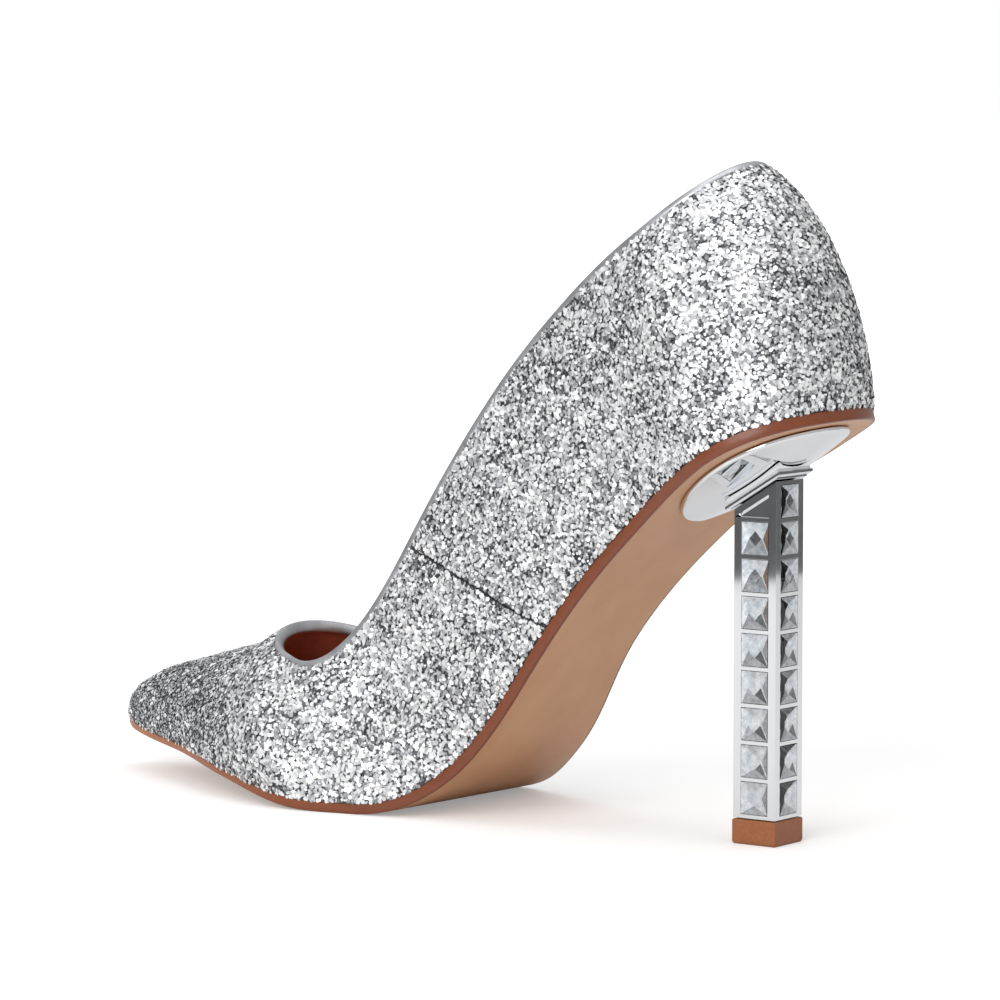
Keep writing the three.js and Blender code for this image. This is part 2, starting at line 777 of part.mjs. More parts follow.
// The turned-in margin under the board: from its inner edge out to the wall's foot.
function marginPoint(station, reach, inset, lift) {
  if (station.turn !== undefined) {
    const { y, along, radius } = heelPlace(station.side, station.turn);
    const width = Math.min(LASTING_MARGIN, LASTING_SHARE * radius) - inset;
    const left = 1 - (inset + reach * width) / radius;
    return solePoint(HEEL_ROUND - along * left, station.side * y * left, lift);
  }
  const width = halfWidth(station.side, station.foot, inset);
  const margin = Math.min(LASTING_MARGIN - inset, LASTING_SHARE * width);
  return solePoint(station.foot, station.side * (width - reach * margin), lift);
}

function upperRows(stations, inset) {
  return stations.map((station) => [
    marginPoint(station, 1, inset, inset),
    marginPoint(station, 0.5, inset, inset),
    ...RISES.map((rise) => stationPoint(station, rise, inset, inset)),
  ]);
}

function vamp() {
  const rows = (inset) => upperRows(vampStations(inset, EDGE_DROP), inset);
  return solidBetween(rows(0), rows(UPPER_THICKNESS));
}

function quarter() {
  const stations = quarterStations(SEAM_FOOT - GAP, SEAM_HEAD - GAP, EDGE_DROP, QUARTER_STEPS);
  const rows = (inset) => upperRows(stations, inset);
  return solidBetween(rows(0), rows(UPPER_THICKNESS));
}

// How much of its step inwards the lining takes, to make room for the stiffeners.
function toeRoom(s) {
  return smoothStep(TOE_PUFF_START - STIFFENER_FADE, TOE_PUFF_START - GAP, s);
}

function heelRoom(s, rise) {
  const along = 1 - smoothStep(COUNTER_END + GAP, COUNTER_END + STIFFENER_FADE, s);
  return along * (1 - smoothStep(COUNTER_RISE + 0.02, COUNTER_RISE + COUNTER_FADE, rise));
}

function vampLining() {
  const rows = (extra) => {
    const deepest = LINING_INSET + LINING_STEP + extra;
    return vampStations(deepest, EDGE_DROP).map((station) =>
      RISES.map((rise) => {
        const inset = LINING_INSET + extra + LINING_STEP * toeRoom(stationFoot(station));
        return stationPoint(station, rise, inset, INSIDE_FLOOR);
      }),
    );
  };
  return solidBetween(rows(0), rows(LINING_THICKNESS));
}

function quarterLining() {
  const stations = quarterStations(SEAM_FOOT - GAP, SEAM_HEAD - GAP, EDGE_DROP, QUARTER_STEPS);
  const rows = (extra) =>
    stations.map((station) =>
      RISES.map((rise) => {
        const inset = LINING_INSET + extra + LINING_STEP * heelRoom(stationFoot(station), rise);
        return stationPoint(station, rise, inset, INSIDE_FLOOR);
      }),
    );
  return solidBetween(rows(0), rows(LINING_THICKNESS));
}

// A stiffener is pared thin towards its free edges.
const pared = (share) => mix(SKIVED_THICKNESS, STIFFENER_THICKNESS, share);

// The puff's rows arch over the toe from one foot to the other. Its last places are left off, so that it
// ends blunt, short of the very tip.
function toePuff() {
  const first = toePlaces(STIFFENER_INSET, EDGE_DROP).findIndex((s) => s > TOE_PUFF_START);
  const arch = (s, deep) => {
    const thickness = deep * pared(smoothStep(TOE_PUFF_START, TOE_PUFF_START + STIFFENER_FADE, s));
    const pointOn = (side) => (rise) => {
      const station = { side, foot: s, head: s, edgeAngle: QUARTER_TURN };
      return stationPoint(station, rise, STIFFENER_INSET + thickness, INSIDE_FLOOR);
    };
    return [...RISES.map(pointOn(1)), ...RISES.slice(0, -1).reverse().map(pointOn(-1))];
  };
  const rows = (deep) => {
    const places = toePlaces(STIFFENER_INSET + deep * STIFFENER_THICKNESS, EDGE_DROP);
    return places.slice(first, -2).map((s) => arch(s, deep));
  };
  return solidBetween(rows(0), rows(1));
}

function heelCounter() {
  const stations = quarterStations(COUNTER_END, COUNTER_END, EDGE_DROP, 5);
  const rises = RISES.filter((rise) => rise < COUNTER_RISE);
  const rows = (deep) =>
    stations.map((station) =>
      rises.map((rise) => {
        const s = stationFoot(station);
        const along = 1 - smoothStep(COUNTER_END - STIFFENER_FADE, COUNTER_END, s);
        const up = 1 - smoothStep(COUNTER_RISE - COUNTER_FADE, COUNTER_RISE, rise);
        return stationPoint(station, rise, STIFFENER_INSET + deep * pared(along * up), INSIDE_FLOOR);
      }),
    );
  return solidBetween(rows(0), rows(1));
}

// ---- Topline binding -----------------------------------------------------------------------------

// A folded band round the whole opening. Its section is a closed outline of (height above the cut edge
// of the upper as a share of the band's width, inset) pairs, and it is swept round the topline.
function toplineBinding() {
  const wallDepth = LINING_INSET + LINING_THICKNESS;
  const section = [
    [0, -BINDING_PROUD * 0.6],
    [0.45, -BINDING_PROUD],
    [0.85, 0.1],
    [1, wallDepth * 0.4],
    [0.85, wallDepth * 0.85],
    [0.45, wallDepth + BINDING_PROUD],
    [0, wallDepth + BINDING_PROUD * 0.6],
  ];
  const ringAt = (side, place) =>
    section.map(([share, inset]) => {
      const drop = BINDING_WIDTH * (1 - share);
      const edge = toplineAt(side, drop);
      if (place.turn !== undefined) {
        const { s } = heelPlace(side, place.turn);
        return heelWall(side, place.turn, 1, edgeAngle(side, s, drop, edge), inset, 0);
      }
      const s = place.headAt(THROAT + drop);
      return sideWall(side, s, 1, edgeAngle(side, s, drop, edge), inset, 0);
    });
  const places = [
    ...steps(0, 1, VAMP_STEPS, (t) => t * t).map((back) => ({
      headAt: (throat) => mix(throat, SEAM_HEAD, back),
    })),
    ...steps(SEAM_HEAD - GAP, HEEL_ROUND, QUARTER_STEPS).map((s) => ({ headAt: () => s })),
    ...steps(QUARTER_TURN, 0, HEEL_STEPS).slice(1).map((turn) => ({ turn })),
  ];
  const outer = places.map((place) => ringAt(1, place));
  const inner = places.slice(1, -1).reverse().map((place) => ringAt(-1, place));
  return closedSweep([...outer, ...inner]);
}

// A solid ring from sections that follow one another round a closed path.
function closedSweep(rings) {
  const sides = rings[0].length;
  const triangles = [];
  rings.forEach((_, i) => {
    const next = ((i + 1) % rings.length) * sides;
    for (let j = 0; j < sides; j += 1) {
      const k = (j + 1) % sides;
      triangles.push(i * sides + j, i * sides + k, next + k, i * sides + j, next + k, next + j);
    }
  });
  return facingOut(geometryOf(rings.flat(), triangles));
}

// ---- Heel ----------------------------------------------------------------------------------------

// The oval plate under the heel seat: its top follows the outsole and its underside is a shallow dome.
// As a tool that trims the capital, it is drawn lower and higher than the plate itself.
function plateBody(lower, higher) {
  const ringShares = [0, 0.3, 0.6, 0.85, 1];
  const turns = steps(0, 2 * Math.PI, 24);
  const at = (share, turn, domed) => {
    const s = PLATE_CENTRE + PLATE_HALF_LENGTH * share * Math.cos(turn);
    const y = PLATE_HALF_WIDTH * share * Math.sin(turn);
    const depth = domed ? PLATE_RIM + PLATE_DOME * (1 - share * share) + lower : -higher;
    return solePoint(s, y, -(outsoleThickness(s) + GAP + depth));
  };
  const skin = (domed) => ringShares.map((share) => turns.map((turn) => at(share, turn, domed)));
  return solidBetween(skin(true), skin(false));
}

function heelPlate() {
  return cut(plateBody(0, 0), [...nailHoles(), ...screwHole()]);
}

const slant = Math.tan(radians(CAPITAL_SLANT_DEGREES));
const domeAt = (s) => solePoint(s, 0, -(outsoleThickness(s) + GAP + PLATE_RIM + PLATE_DOME));
const domeBottom = heightOver(0, domeAt);
const CAPITAL_BOTTOM = domeBottom - CAPITAL_HEIGHT; // at the column's centre line
const COLUMN_BOTTOM = TIP_HEIGHT + GAP;
const COLUMN_TOP = CAPITAL_BOTTOM - GAP;
const slantedTop = (x) => COLUMN_TOP - slant * x;

const CORNERS = [
  [1, 1],
  [-1, 1],
  [-1, -1],
  [1, -1],
];

// Square sections stacked upwards; each is given by its half width and the height of its corners.
function squareStack(sections) {
  const points = sections.flatMap(({ half, heightAt }) =>
    CORNERS.map(([cx, cy]) => new THREE.Vector3(cx * half, cy * half, heightAt(cx * half))),
  );
  const triangles = [0, 2, 1, 0, 3, 2];
  for (let ring = 0; ring + 1 < sections.length; ring += 1) {
    for (let j = 0; j < 4; j += 1) {
      const a = ring * 4 + j;
      const b = ring * 4 + ((j + 1) % 4);
      triangles.push(a, b, b + 4, a, b + 4, a + 4);
    }
  }
  const top = (sections.length - 1) * 4;
  triangles.push(top, top + 1, top + 2, top, top + 2, top + 3);
  return facingOut(geometryOf(points, triangles));
}

const heel = new THREE.Group();
heel.rotation.z = radians(COLUMN_YAW_DEGREES);
pump.add(heel);

// Turns a tool that is placed in the shoe's frame into the heel's own, turned frame.
const intoHeel = (geometry) => geometry.clone().rotateZ(-radians(COLUMN_YAW_DEGREES));

function heelCapital() {
  const profile = [...CAPITAL_PROFILE, [CAPITAL_MEETS, CAPITAL_PROFILE.at(-1)[1]]];
  const body = squareStack(
    profile.map(([height, half]) => ({ half, heightAt: (x) => CAPITAL_BOTTOM + height - slant * x })),
  );
  return cut(body, [intoHeel(plateBody(GAP, CAPITAL_MEETS)), ...screwHole()]);
}

const STONE_PITCH = (slantedTop(-COLUMN_WIDTH / 2) - COLUMN_BOTTOM - STONE_BAR) / BACK_STONES;
const windowHeight = STONE_PITCH - STONE_BAR;
const stoneCentre = (i) => COLUMN_BOTTOM + STONE_BAR + windowHeight / 2 + i * STONE_PITCH;

// The column's faces: the turn about Z that brings +X to face that way, and the stones it holds.
const FACES = [
  { name: "back", turn: Math.PI, stones: BACK_STONES },
  { name: "outer", turn: QUARTER_TURN, stones: SIDE_STONES },
  { name: "front", turn: 0, stones: SIDE_STONES },
  { name: "inner", turn: -QUARTER_TURN, stones: SIDE_STONES },
];

// The window that one stone sits in, cut through the face at +X and then turned to its own face.
function stoneWindow(face, i) {
  const through = 2;
  const box = new THREE.BoxGeometry(WINDOW_DEPTH + through, WINDOW_WIDTH, windowHeight);
  box.translate((COLUMN_WIDTH + through - WINDOW_DEPTH) / 2, 0, stoneCentre(i));
  return box.rotateZ(face.turn);
}

// Above the side faces' stones, a three-cornered panel is sunk under the slanted capital.
function cornerPanel(side) {
  const bottom = COLUMN_BOTTOM + STONE_BAR + SIDE_STONES * STONE_PITCH;
  const half = WINDOW_WIDTH / 2;
  const height = slantedTop(-half) - STONE_BAR * 2 - bottom;
  const outline = new THREE.Shape([
    new THREE.Vector2(-half, bottom),
    new THREE.Vector2(-half + height / slant, bottom),
    new THREE.Vector2(-half, bottom + height),
  ]);
  const depth = WINDOW_DEPTH + 2;
  const panel = new THREE.ExtrudeGeometry(outline, { depth, bevelEnabled: false }).rotateX(QUARTER_TURN);
  const face = COLUMN_WIDTH / 2;
  return panel.translate(0, side > 0 ? face - WINDOW_DEPTH + depth : -face + WINDOW_DEPTH, 0);
}

function heelColumn() {
  const half = COLUMN_WIDTH / 2;
  const body = squareStack([
    { half, heightAt: () => COLUMN_BOTTOM },
    { half, heightAt: slantedTop },
  ]);
  const windows = FACES.flatMap((face) =>
    Array.from({ length: face.stones }, (_, i) => stoneWindow(face, i)),
  );
  const bore = upright(0, COLUMN_TOP + HEAD_ROOM, holeRadius(CORE_RADIUS), HOLE_SIDES);
  return cut(body, [...windows, cornerPanel(1), cornerPanel(-1), bore]);
}

// A square-cut crystal with a flat back and a table turned by an eighth of a turn, facing +X.
function crystal() {
  const halfY = WINDOW_WIDTH / 2 - STONE_CLEARANCE;
  const halfZ = windowHeight / 2 - STONE_CLEARANCE;
  const back = GAP - WINDOW_DEPTH;
  const corners = (x, share) =>
    CORNERS.map(([y, z]) => new THREE.Vector3(x, y * halfY * share, z * halfZ * share));
  const table = [
    [1, 0],
    [0, 1],
    [-1, 0],
    [0, -1],
  ].map(([y, z]) => new THREE.Vector3(STONE_CROWN - 0.2, y * halfY * STONE_TABLE, z * halfZ * STONE_TABLE));
  return new ConvexGeometry([...corners(back, 0.8), ...corners(-0.45, 1), ...corners(-0.2, 1), ...table]);
}

function heelCore() {
  const top = COLUMN_TOP - slant * (CORE_RADIUS + GAP);
  const body = upright(COLUMN_BOTTOM, top, CORE_RADIUS, HOLE_SIDES);
  const bore = upright(0, top + HEAD_ROOM, holeRadius(Math.max(PIN_RADIUS, SCREW_RADIUS)), HOLE_SIDES);
  return cut(body, [bore]);
}

function heelTip() {
  const half = TIP_WIDTH / 2;
  const edge = 0.6;
  const body = squareStack([
    { half: half - edge / 2, heightAt: () => 0 },
    { half, heightAt: () => edge },
    { half, heightAt: () => TIP_HEIGHT - edge / 2 },
    { half: half - edge / 3, heightAt: () => TIP_HEIGHT },
  ]);
  return cut(body, [upright(TIP_BORE_FLOOR, TIP_HEIGHT + 1, holeRadius(PIN_RADIUS), HOLE_SIDES)]);
}

function heelScrew() {
  const end = SCREW_HEAD_BOTTOM - SCREW_REACH + GAP;
  const shaft = upright(end, SCREW_HEAD_BOTTOM + SCREW_HEAD_HEIGHT / 2, SCREW_RADIUS, HOLE_SIDES);
  return joined([shaft, upright(SCREW_HEAD_BOTTOM, SCREW_HEAD_TOP, SCREW_HEAD_RADIUS, HOLE_SIDES)]);
}

// ---- Assembly ------------------------------------------------------------------------------------

const GLITTER = "#b4b5b7";
const SILVER = "#c9cacc";
const CHROME = "#d9dbde";
const LINING_BROWN = "#6b2f1f";

addPiece("vamp", vamp(), plain(GLITTER, 0.35));
addPiece("quarter", quarter(), plain(GLITTER, 0.35));
addPiece("topline_binding", toplineBinding(), plain(SILVER, 0.3));
addPiece("vamp_lining", vampLining(), plain(LINING_BROWN, 0.6));
addPiece("quarter_lining", quarterLining(), plain(LINING_BROWN, 0.6));
addPiece("toe_puff", toePuff(), plain("#d8cdb8", 0.8));
addPiece("heel_counter", heelCounter(), plain("#cbbfa8", 0.8));
addPiece("insole_board", insoleBoard(), plain("#8a7358", 0.9));
addPiece("shank", shank(), metal("#8d8f92", 0.4));
addPiece("bottom_filler", bottomFiller(), plain("#4a3b2c", 0.95));
addPiece("outsole", outsole(), plain("#c79c7a", 0.45));
addPiece("heel_pad", heelPad(), plain("#e3d8c4", 0.9));
addPiece("sock_lining", sockLining(), plain("#7a3a26", 0.6));
addPiece("heel_plate", heelPlate(), metal(CHROME, 0.08));
addPiece("heel_screw", heelScrew(), metal("#9a9ca0", 0.35));
RIVET_PLACES.forEach((s, i) => {
  const rivet = normalRod([s, 0], SHANK_BOTTOM, BOARD_TOP - GAP, RIVET_RADIUS, HOLE_SIDES);
  addPiece(`shank_rivet_${i + 1}`, rivet, metal("#9a9ca0", 0.4));
});
NAIL_PLACES.forEach((place, i) => {
  const nail = normalRod(place, nailBottom(place), BOARD_TOP - GAP, NAIL_RADIUS, HOLE_SIDES);
  addPiece(`heel_nail_${i + 1}`, nail, metal("#8d8f92", 0.45));
});

addPiece("heel_capital", heelCapital(), metal(CHROME, 0.08), heel);
addPiece("heel_column", heelColumn(), metal(CHROME, 0.1), heel);
addPiece("heel_core_tube", heelCore(), metal("#8d8f92", 0.4), heel);
addPiece("heel_tip", heelTip(), plain("#a5643c", 0.5), heel);
const tipPin = upright(TIP_BORE_FLOOR + GAP, PIN_TOP, PIN_RADIUS, HOLE_SIDES);
addPiece("heel_tip_pin", tipPin, metal("#9a9ca0", 0.4), heel);
for (const face of FACES) {
  for (let i = 0; i < face.stones; i += 1) {
    const stone = addPiece(`crystal_${face.name}_${i + 1}`, crystal(), plain("#e8edf0", 0.03), heel);
    const reach = COLUMN_WIDTH / 2;
    stone.position.set(reach * Math.cos(face.turn), reach * Math.sin(face.turn), stoneCentre(i));
    stone.rotation.z = face.turn;
  }
}

export default pump;
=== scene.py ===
"""A high heel pump: glitter upper, bound topline, slim outsole and a square heel set with crystals.

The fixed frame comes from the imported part. Each sub-assembly below is a class that rebuilds its pieces
on the same last, in the same place, with the finish that the real material has.
"""

import logging
import math
from collections.abc import Callable, Sequence
from dataclasses import dataclass, field, replace
from enum import Enum
from typing import Any

import bmesh
import bpy
from mathutils import Matrix, Vector


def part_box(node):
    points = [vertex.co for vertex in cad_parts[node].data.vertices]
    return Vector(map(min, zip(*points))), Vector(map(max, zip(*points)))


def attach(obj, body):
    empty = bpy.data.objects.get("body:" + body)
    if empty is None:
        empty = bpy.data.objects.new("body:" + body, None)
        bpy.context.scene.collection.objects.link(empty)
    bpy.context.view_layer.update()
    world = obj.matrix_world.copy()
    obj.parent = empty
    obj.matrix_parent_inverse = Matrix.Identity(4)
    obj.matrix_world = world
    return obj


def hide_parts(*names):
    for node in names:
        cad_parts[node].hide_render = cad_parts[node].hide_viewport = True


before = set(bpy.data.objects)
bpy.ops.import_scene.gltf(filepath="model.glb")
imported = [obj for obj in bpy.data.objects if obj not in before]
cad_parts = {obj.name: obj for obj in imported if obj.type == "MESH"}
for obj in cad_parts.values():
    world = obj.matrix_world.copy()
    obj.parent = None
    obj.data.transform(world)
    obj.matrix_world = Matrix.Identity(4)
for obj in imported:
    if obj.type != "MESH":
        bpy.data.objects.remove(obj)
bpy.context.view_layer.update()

logging.basicConfig(level=logging.INFO, format="%(message)s")
log = logging.getLogger("pump")

MM = 0.001
BODY = "root"
QUARTER = math.pi / 2

Curve = Callable[[float], float]
Grid = list[list[Vector]]
Inputs = dict[str, Any]
Stops = Sequence[tuple[float, str]]
Tree = bpy.types.NodeTree
Node = bpy.types.Node
Object = bpy.types.Object
Skin = bmesh.types.BMesh


# ---- Small mathematics ---------------------------------------------------------------------------


def mix(a: float, b: float, t: float) -> float:
    """The value a share t of the way from a to b."""
    return a + (b - a) * t


def clamp(value: float, low: float = 0.0, high: float = 1.0) -> float:
    """The value, kept between low and high."""
    return min(high, max(low, value))


def smooth_step(start: float, end: float, value: float) -> float:
    """0 before start, 1 after end, and a smooth rise between them."""
    t = clamp((value - start) / (end - start))
    return t * t * (3 - 2 * t)


def steps(start: float, end: float, count: int, ease: Curve = lambda t: t) -> list[float]:
    """count + 1 values from start to end, spaced by ease."""
    return [mix(start, end, ease(i / count)) for i in range(count + 1)]


def smooth_through(points: Sequence[tuple[float, float]]) -> Curve:
    """A smooth curve through the points that never overshoots them.

    Args:
        points: (place, value) pairs in rising order of place.

    Returns:
        A function from a place to its value. Outside the points it keeps the end values.
    """
    last = len(points) - 1
    rises = [(points[i + 1][1] - points[i][1]) / (points[i + 1][0] - points[i][0]) for i in range(last)]
    slopes = [rises[0]]
    for before, after in zip(rises, rises[1:]):
        slopes.append(0.0 if before * after <= 0 else 2 * before * after / (before + after))
    slopes.append(rises[-1])

    def value(x: float) -> float:
        """The curve's value at x, by a cubic between the points on either side."""
        if x <= points[0][0]:
            return points[0][1]
        if x >= points[last][0]:
            return points[last][1]
        i = 0
        while x > points[i + 1][0]:
            i += 1
        width = points[i + 1][0] - points[i][0]
        t = (x - points[i][0]) / width
        bend = (1 - t) * (1 - t)
        return (
            (1 + 2 * t) * bend * points[i][1]
            + t * bend * width * slopes[i]
            + t * t * (3 - 2 * t) * points[i + 1][1]
            + t * t * (t - 1) * width * slopes[i + 1]
        )

    return value


# ---- The last: the form that the shoe is built on, in millimetres ---------------------------------


class Side(Enum):
    """The shoe's two sides. The value is the sign of Y."""

    OUTER = 1
    INNER = -1


@dataclass
class Station:
    """A place where a wall is sampled: two distances along the sole, or a turn round the heel."""

    side: Side
    foot: float
    head: float
    edge: float
    turn: float | None = None


@dataclass
class Last:
    """The sole sheet and the wall surface, as functions of the place along the sole."""

    length: float = 265.0
    heel_back_x: float = -22.9
    heel_round: float = 26.5
    heel_power: float = 2.2
    toe_round: float = 7.7
    toe_drop_round: float = 6.0
    toe_back_per_inset: float = 3.0
    throat: float = 192.8
    seam_foot: float = 90.0
    seam_head: float = 112.5
    seam_bow: float = 0.8
    tread: tuple[float, float] = (0.637, 0.65)
    outsole_heel: float = 2.9
    outsole_ball: float = 2.6
    outsole_toe: float = 1.85
    ridge_shift_share: float = 0.75
    full_bulge_width: float = 12.0
    line: list[tuple[float, float]] = field(init=False, repr=False)

    def __post_init__(self) -> None:
        """Draws every curve of the last and walks the sole's middle line."""
        t0, t1 = self.tread
        degree = math.radians(1)
        self.slope = self._along(
            [(0, 14), (0.1, 30.7), (0.24, 44.7), (0.4, 54.2), (0.54, 35.2), (t0, 0), (t1, 0)]
            + [(0.71, -9.7), (0.8, -8.9), (0.9, -3.4), (1, -9)],
            degree,
        )
        self.width = {
            Side.OUTER: self._along(
                [(0.1, 25.9), (0.22, 21.5), (0.36, 22), (0.5, 22.2), (0.62, 28.8), (0.7, 33)]
                + [(0.78, 28.7), (0.88, 17.7), (0.95, 9.8), (1, 3.4)]
            ),
            Side.INNER: self._along(
                [(0.1, 25.9), (0.22, 19.9), (0.36, 15.1), (0.5, 23.8), (0.62, 32.3), (0.7, 33)]
                + [(0.78, 29.7), (0.88, 21.7), (0.95, 12.1), (1, 3.4)]
            ),
        }
        heel, ball, toe = self.outsole_heel, self.outsole_ball, self.outsole_toe
        self.outsole = self._along([(0, heel), (0.5, heel), (t0, ball), (t1, ball), (0.8, toe), (1, toe)])
        self.ridge = self._along(
            [(0, 67.4), (0.1, 75), (0.25, 77), (0.4, 78), (0.55, 66.6), (0.65, 47.2)]
            + [(0.72, 39.9), (0.8, 28.3), (0.88, 20.6), (0.95, 14.6), (1, 6.8)]
        )
        self.shift = self._along([(0, 0), (0.1, 0), (0.4, -0.3), (0.7, -0.9), (1, -6)])
        self.lean = self._along(
            [(0, 15.7), (0.1, 26), (0.3, 34.8), (0.5, 44.7), (0.65, 30.8), (0.8, 11.4), (1, 4.3)], degree
        )
        self.square = self._along([(0, 0.99), (0.1, 0.99), (0.35, 0.93), (0.6, 0.91), (0.8, 1.1), (1, 1)])
        self.sharp = self._along([(0, 1.19), (0.1, 1.07), (0.35, 1.02), (0.6, 0.87), (0.8, 1.05), (1, 1)])
        self.bulge = self._along([(0, 6.2), (0.1, 2.8), (0.35, 0.75), (0.6, 3.5), (0.8, 1.4), (1, 1.2)])
        self.toplines = {
            Side.OUTER: [(0, 61.4), (0.1, 54.4), (0.22, 53.4), (0.36, 49.8), (0.5, 44), (0.62, 40.3)],
            Side.INNER: [(0, 61.4), (0.1, 55.2), (0.22, 55.4), (0.36, 51), (0.5, 46), (0.62, 42.8)],
        }
        self.line = self._walk()

    def _along(self, points: Sequence[tuple[float, float]], unit: float = 1) -> Curve:
        """A smooth curve whose places are shares of the sole's length."""
        return smooth_through([(share * self.length, value * unit) for share, value in points])

    def _walk(self, stride: float = 0.5) -> list[tuple[float, float]]:
        """The sole's middle line in short steps, lowered until the outsole meets the ground."""
        count = round(self.length / stride)
        pace = self.length / count
        x, z = self.heel_back_x, 0.0
        line = [(x, z)]
        for i in range(count):
            slope = self.slope((i + 0.5) * pace)
            x, z = x + pace * math.cos(slope), z - pace * math.sin(slope)
            line.append((x, z))
        ground = min(
            z - self.outsole(i * pace) * math.cos(self.slope(i * pace)) for i, (_, z) in enumerate(line)
        )
        return [(x, z - ground) for x, z in line]

    def point(self, s: float, y: float, n: float) -> Vector:
        """A point of the sole sheet: s along it, y across and n above the outsole's top face."""
        place = clamp(s / self.length) * (len(self.line) - 1)
        i = min(len(self.line) - 2, int(place))
        (x0, z0), (x1, z1) = self.line[i], self.line[i + 1]
        slope = self.slope(s)
        part = place - i
        return Vector((mix(x0, x1, part) + n * math.sin(slope), y, mix(z0, z1, part) + n * math.cos(slope)))

    def toe_end(self, inset: float) -> float:
        """Where a layer at this inset ends at the toe."""
        return self.length - self.toe_back_per_inset * inset

    def toe_cap(self, s: float, inset: float, length: float) -> float:
        """The elliptic share by which widths and heights close down over the toe's last stretch."""
        into = clamp((s - (self.toe_end(inset) - length)) / length)
        return math.sqrt(max(0.0, 1 - into * into))

    def half_width(self, side: Side, s: float, inset: float) -> float:
        """Half the sole's width on one side, at an inset from its edge."""
        width = self.width[side](max(s, self.heel_round)) - inset
        if s >= self.heel_round:
            return width * self.toe_cap(s, inset, self.toe_round)
        back = clamp((self.heel_round - s) / (self.heel_round - inset))
        return width * math.sqrt(max(0.0, 1 - back**self.heel_power))

    def topline(self, side: Side, drop: float) -> Curve:
        """The height of a cut edge that lies a drop below the finished topline."""
        throat = self.throat + drop
        points = [(share * self.length, height - drop) for share, height in self.toplines[side]]
        return smooth_through([*points, (throat, self.ridge(throat))])

    def edge_angle(self, s: float, drop: float, edge: Curve) -> float:
        """How far up the wall's curve the cut edge lies. A quarter turn is the ridge."""
        if s >= self.throat + drop:
            return QUARTER
        return math.asin(clamp(edge(s) / self.ridge(s)) ** (1 / self.sharp(s)))

    def _climb(self, s: float, rise: float, edge: float, top: float, lift: float) -> tuple[float, float]:
        """The angle and the height at a share of the way from a wall's foot to its edge."""
        foot = lift / math.cos(self.lean(s) - self.slope(s))
        share = min(1.0, foot / top) if top > 0 else 1.0
        start = math.asin(share ** (1 / self.sharp(s)))
        angle = mix(start, max(start, edge), rise)
        return angle, max(foot, max(0.0, top) * math.sin(angle) ** self.sharp(s))

    def _up(self, s: float) -> Vector:
        """The way that the walls climb from the sole."""
        lean = self.lean(s)
        return Vector((math.sin(lean), 0, math.cos(lean)))

    def side_wall(self, side: Side, s: float, rise: float, edge: float, inset: float, lift: float) -> Vector:
        """A wall point beside the heel's straight part or the forefoot."""
        top = (self.ridge(s) - inset) * self.toe_cap(s, inset, self.toe_drop_round)
        angle, height = self._climb(s, rise, edge, top, lift)
        narrower = min(self.half_width(each, s, inset) for each in Side)
        shift = max(self.shift(s), -self.ridge_shift_share * narrower)
        across = max(0.0, self.half_width(side, s, inset) - side.value * shift)
        bulge = self.bulge(s) * min(1.0, across / self.full_bulge_width) * math.sin(2 * angle)
        y = across * max(0.0, math.cos(angle)) ** self.square(s) + bulge
        return self.point(s, shift + side.value * y, 0) + self._up(s) * height

    def heel_place(self, side: Side, turn: float) -> tuple[float, float, float, float]:
        """Where a turn round the heel lies: along the sole, across, before the centre, and its radius."""
        along = self.heel_round * max(0.0, math.cos(turn)) ** (2 / self.heel_power)
        y = self.width[side](self.heel_round) * math.sin(turn)
        return self.heel_round - along, y, along, math.hypot(along, y)

    def heel_wall(
        self, side: Side, turn: float, rise: float, edge: float, inset: float, lift: float
    ) -> Vector:
        """A wall point on the rounded back of the heel."""
        s, y, along, radius = self.heel_place(side, turn)
        angle, height = self._climb(s, rise, edge, self.ridge(s) - inset, lift)
        lean = self.lean(s)
        outward = Vector((math.cos(lean), 0, -math.sin(lean))) * (-along / radius)
        outward += Vector((0, side.value * y / radius, 0))
        curve = (radius - inset) * max(0.0, math.cos(angle)) ** self.square(s)
        reach = curve + self.bulge(s) * math.sin(2 * angle) - radius
        return self.point(s, side.value * y, 0) + outward * reach + self._up(s) * height

    def wall(self, station: Station, rise: float, inset: float, lift: float = 0.0) -> Vector:
        """A wall point of a station, at a share of the way up, an inset and a lift of its foot."""
        if station.turn is not None:
            return self.heel_wall(station.side, station.turn, rise, station.edge, inset, lift)
        along = mix(station.foot, station.head, rise**self.seam_bow)
        return self.side_wall(station.side, along, rise, station.edge, inset, lift)

    def vamp_stations(self, drop: float, sides: int, toes: int) -> list[Station]:
        """Stations from the seam on the outer side, round the toe, to the seam on the inner side."""
        throat = self.throat + drop
        feet = steps(self.seam_foot, throat, sides)
        heads = steps(self.seam_head, throat, sides, lambda t: 1 - (1 - t) ** 2)
        toe = steps(throat, self.toe_end(0), toes, lambda t: 1 - (1 - t) ** 1.5)[1:]
        halves = []
        for side in Side:
            edge = self.topline(side, drop)
            half = [Station(side, f, h, self.edge_angle(h, drop, edge)) for f, h in zip(feet, heads)]
            halves.append(half + [Station(side, s, s, QUARTER) for s in toe])
        return halves[0] + halves[1][::-1]

    def quarter_stations(self, gap: float, drop: float, sides: int, backs: int) -> list[Station]:
        """Stations from the seam on the outer side, round the heel, to the seam on the inner side."""
        feet = steps(self.seam_foot - gap, self.heel_round, sides)
        heads = steps(self.seam_head - gap, self.heel_round, sides)
        halves = []
        for side in Side:
            edge = self.topline(side, drop)
            half = [Station(side, f, h, self.edge_angle(h, drop, edge)) for f, h in zip(feet, heads)]
            for turn in steps(QUARTER, 0, backs)[1:]:
                s = self.heel_place(side, turn)[0]
                half.append(Station(side, s, s, self.edge_angle(s, drop, edge), turn))
            halves.append(half)
        return halves[0] + halves[1][::-1][1:]

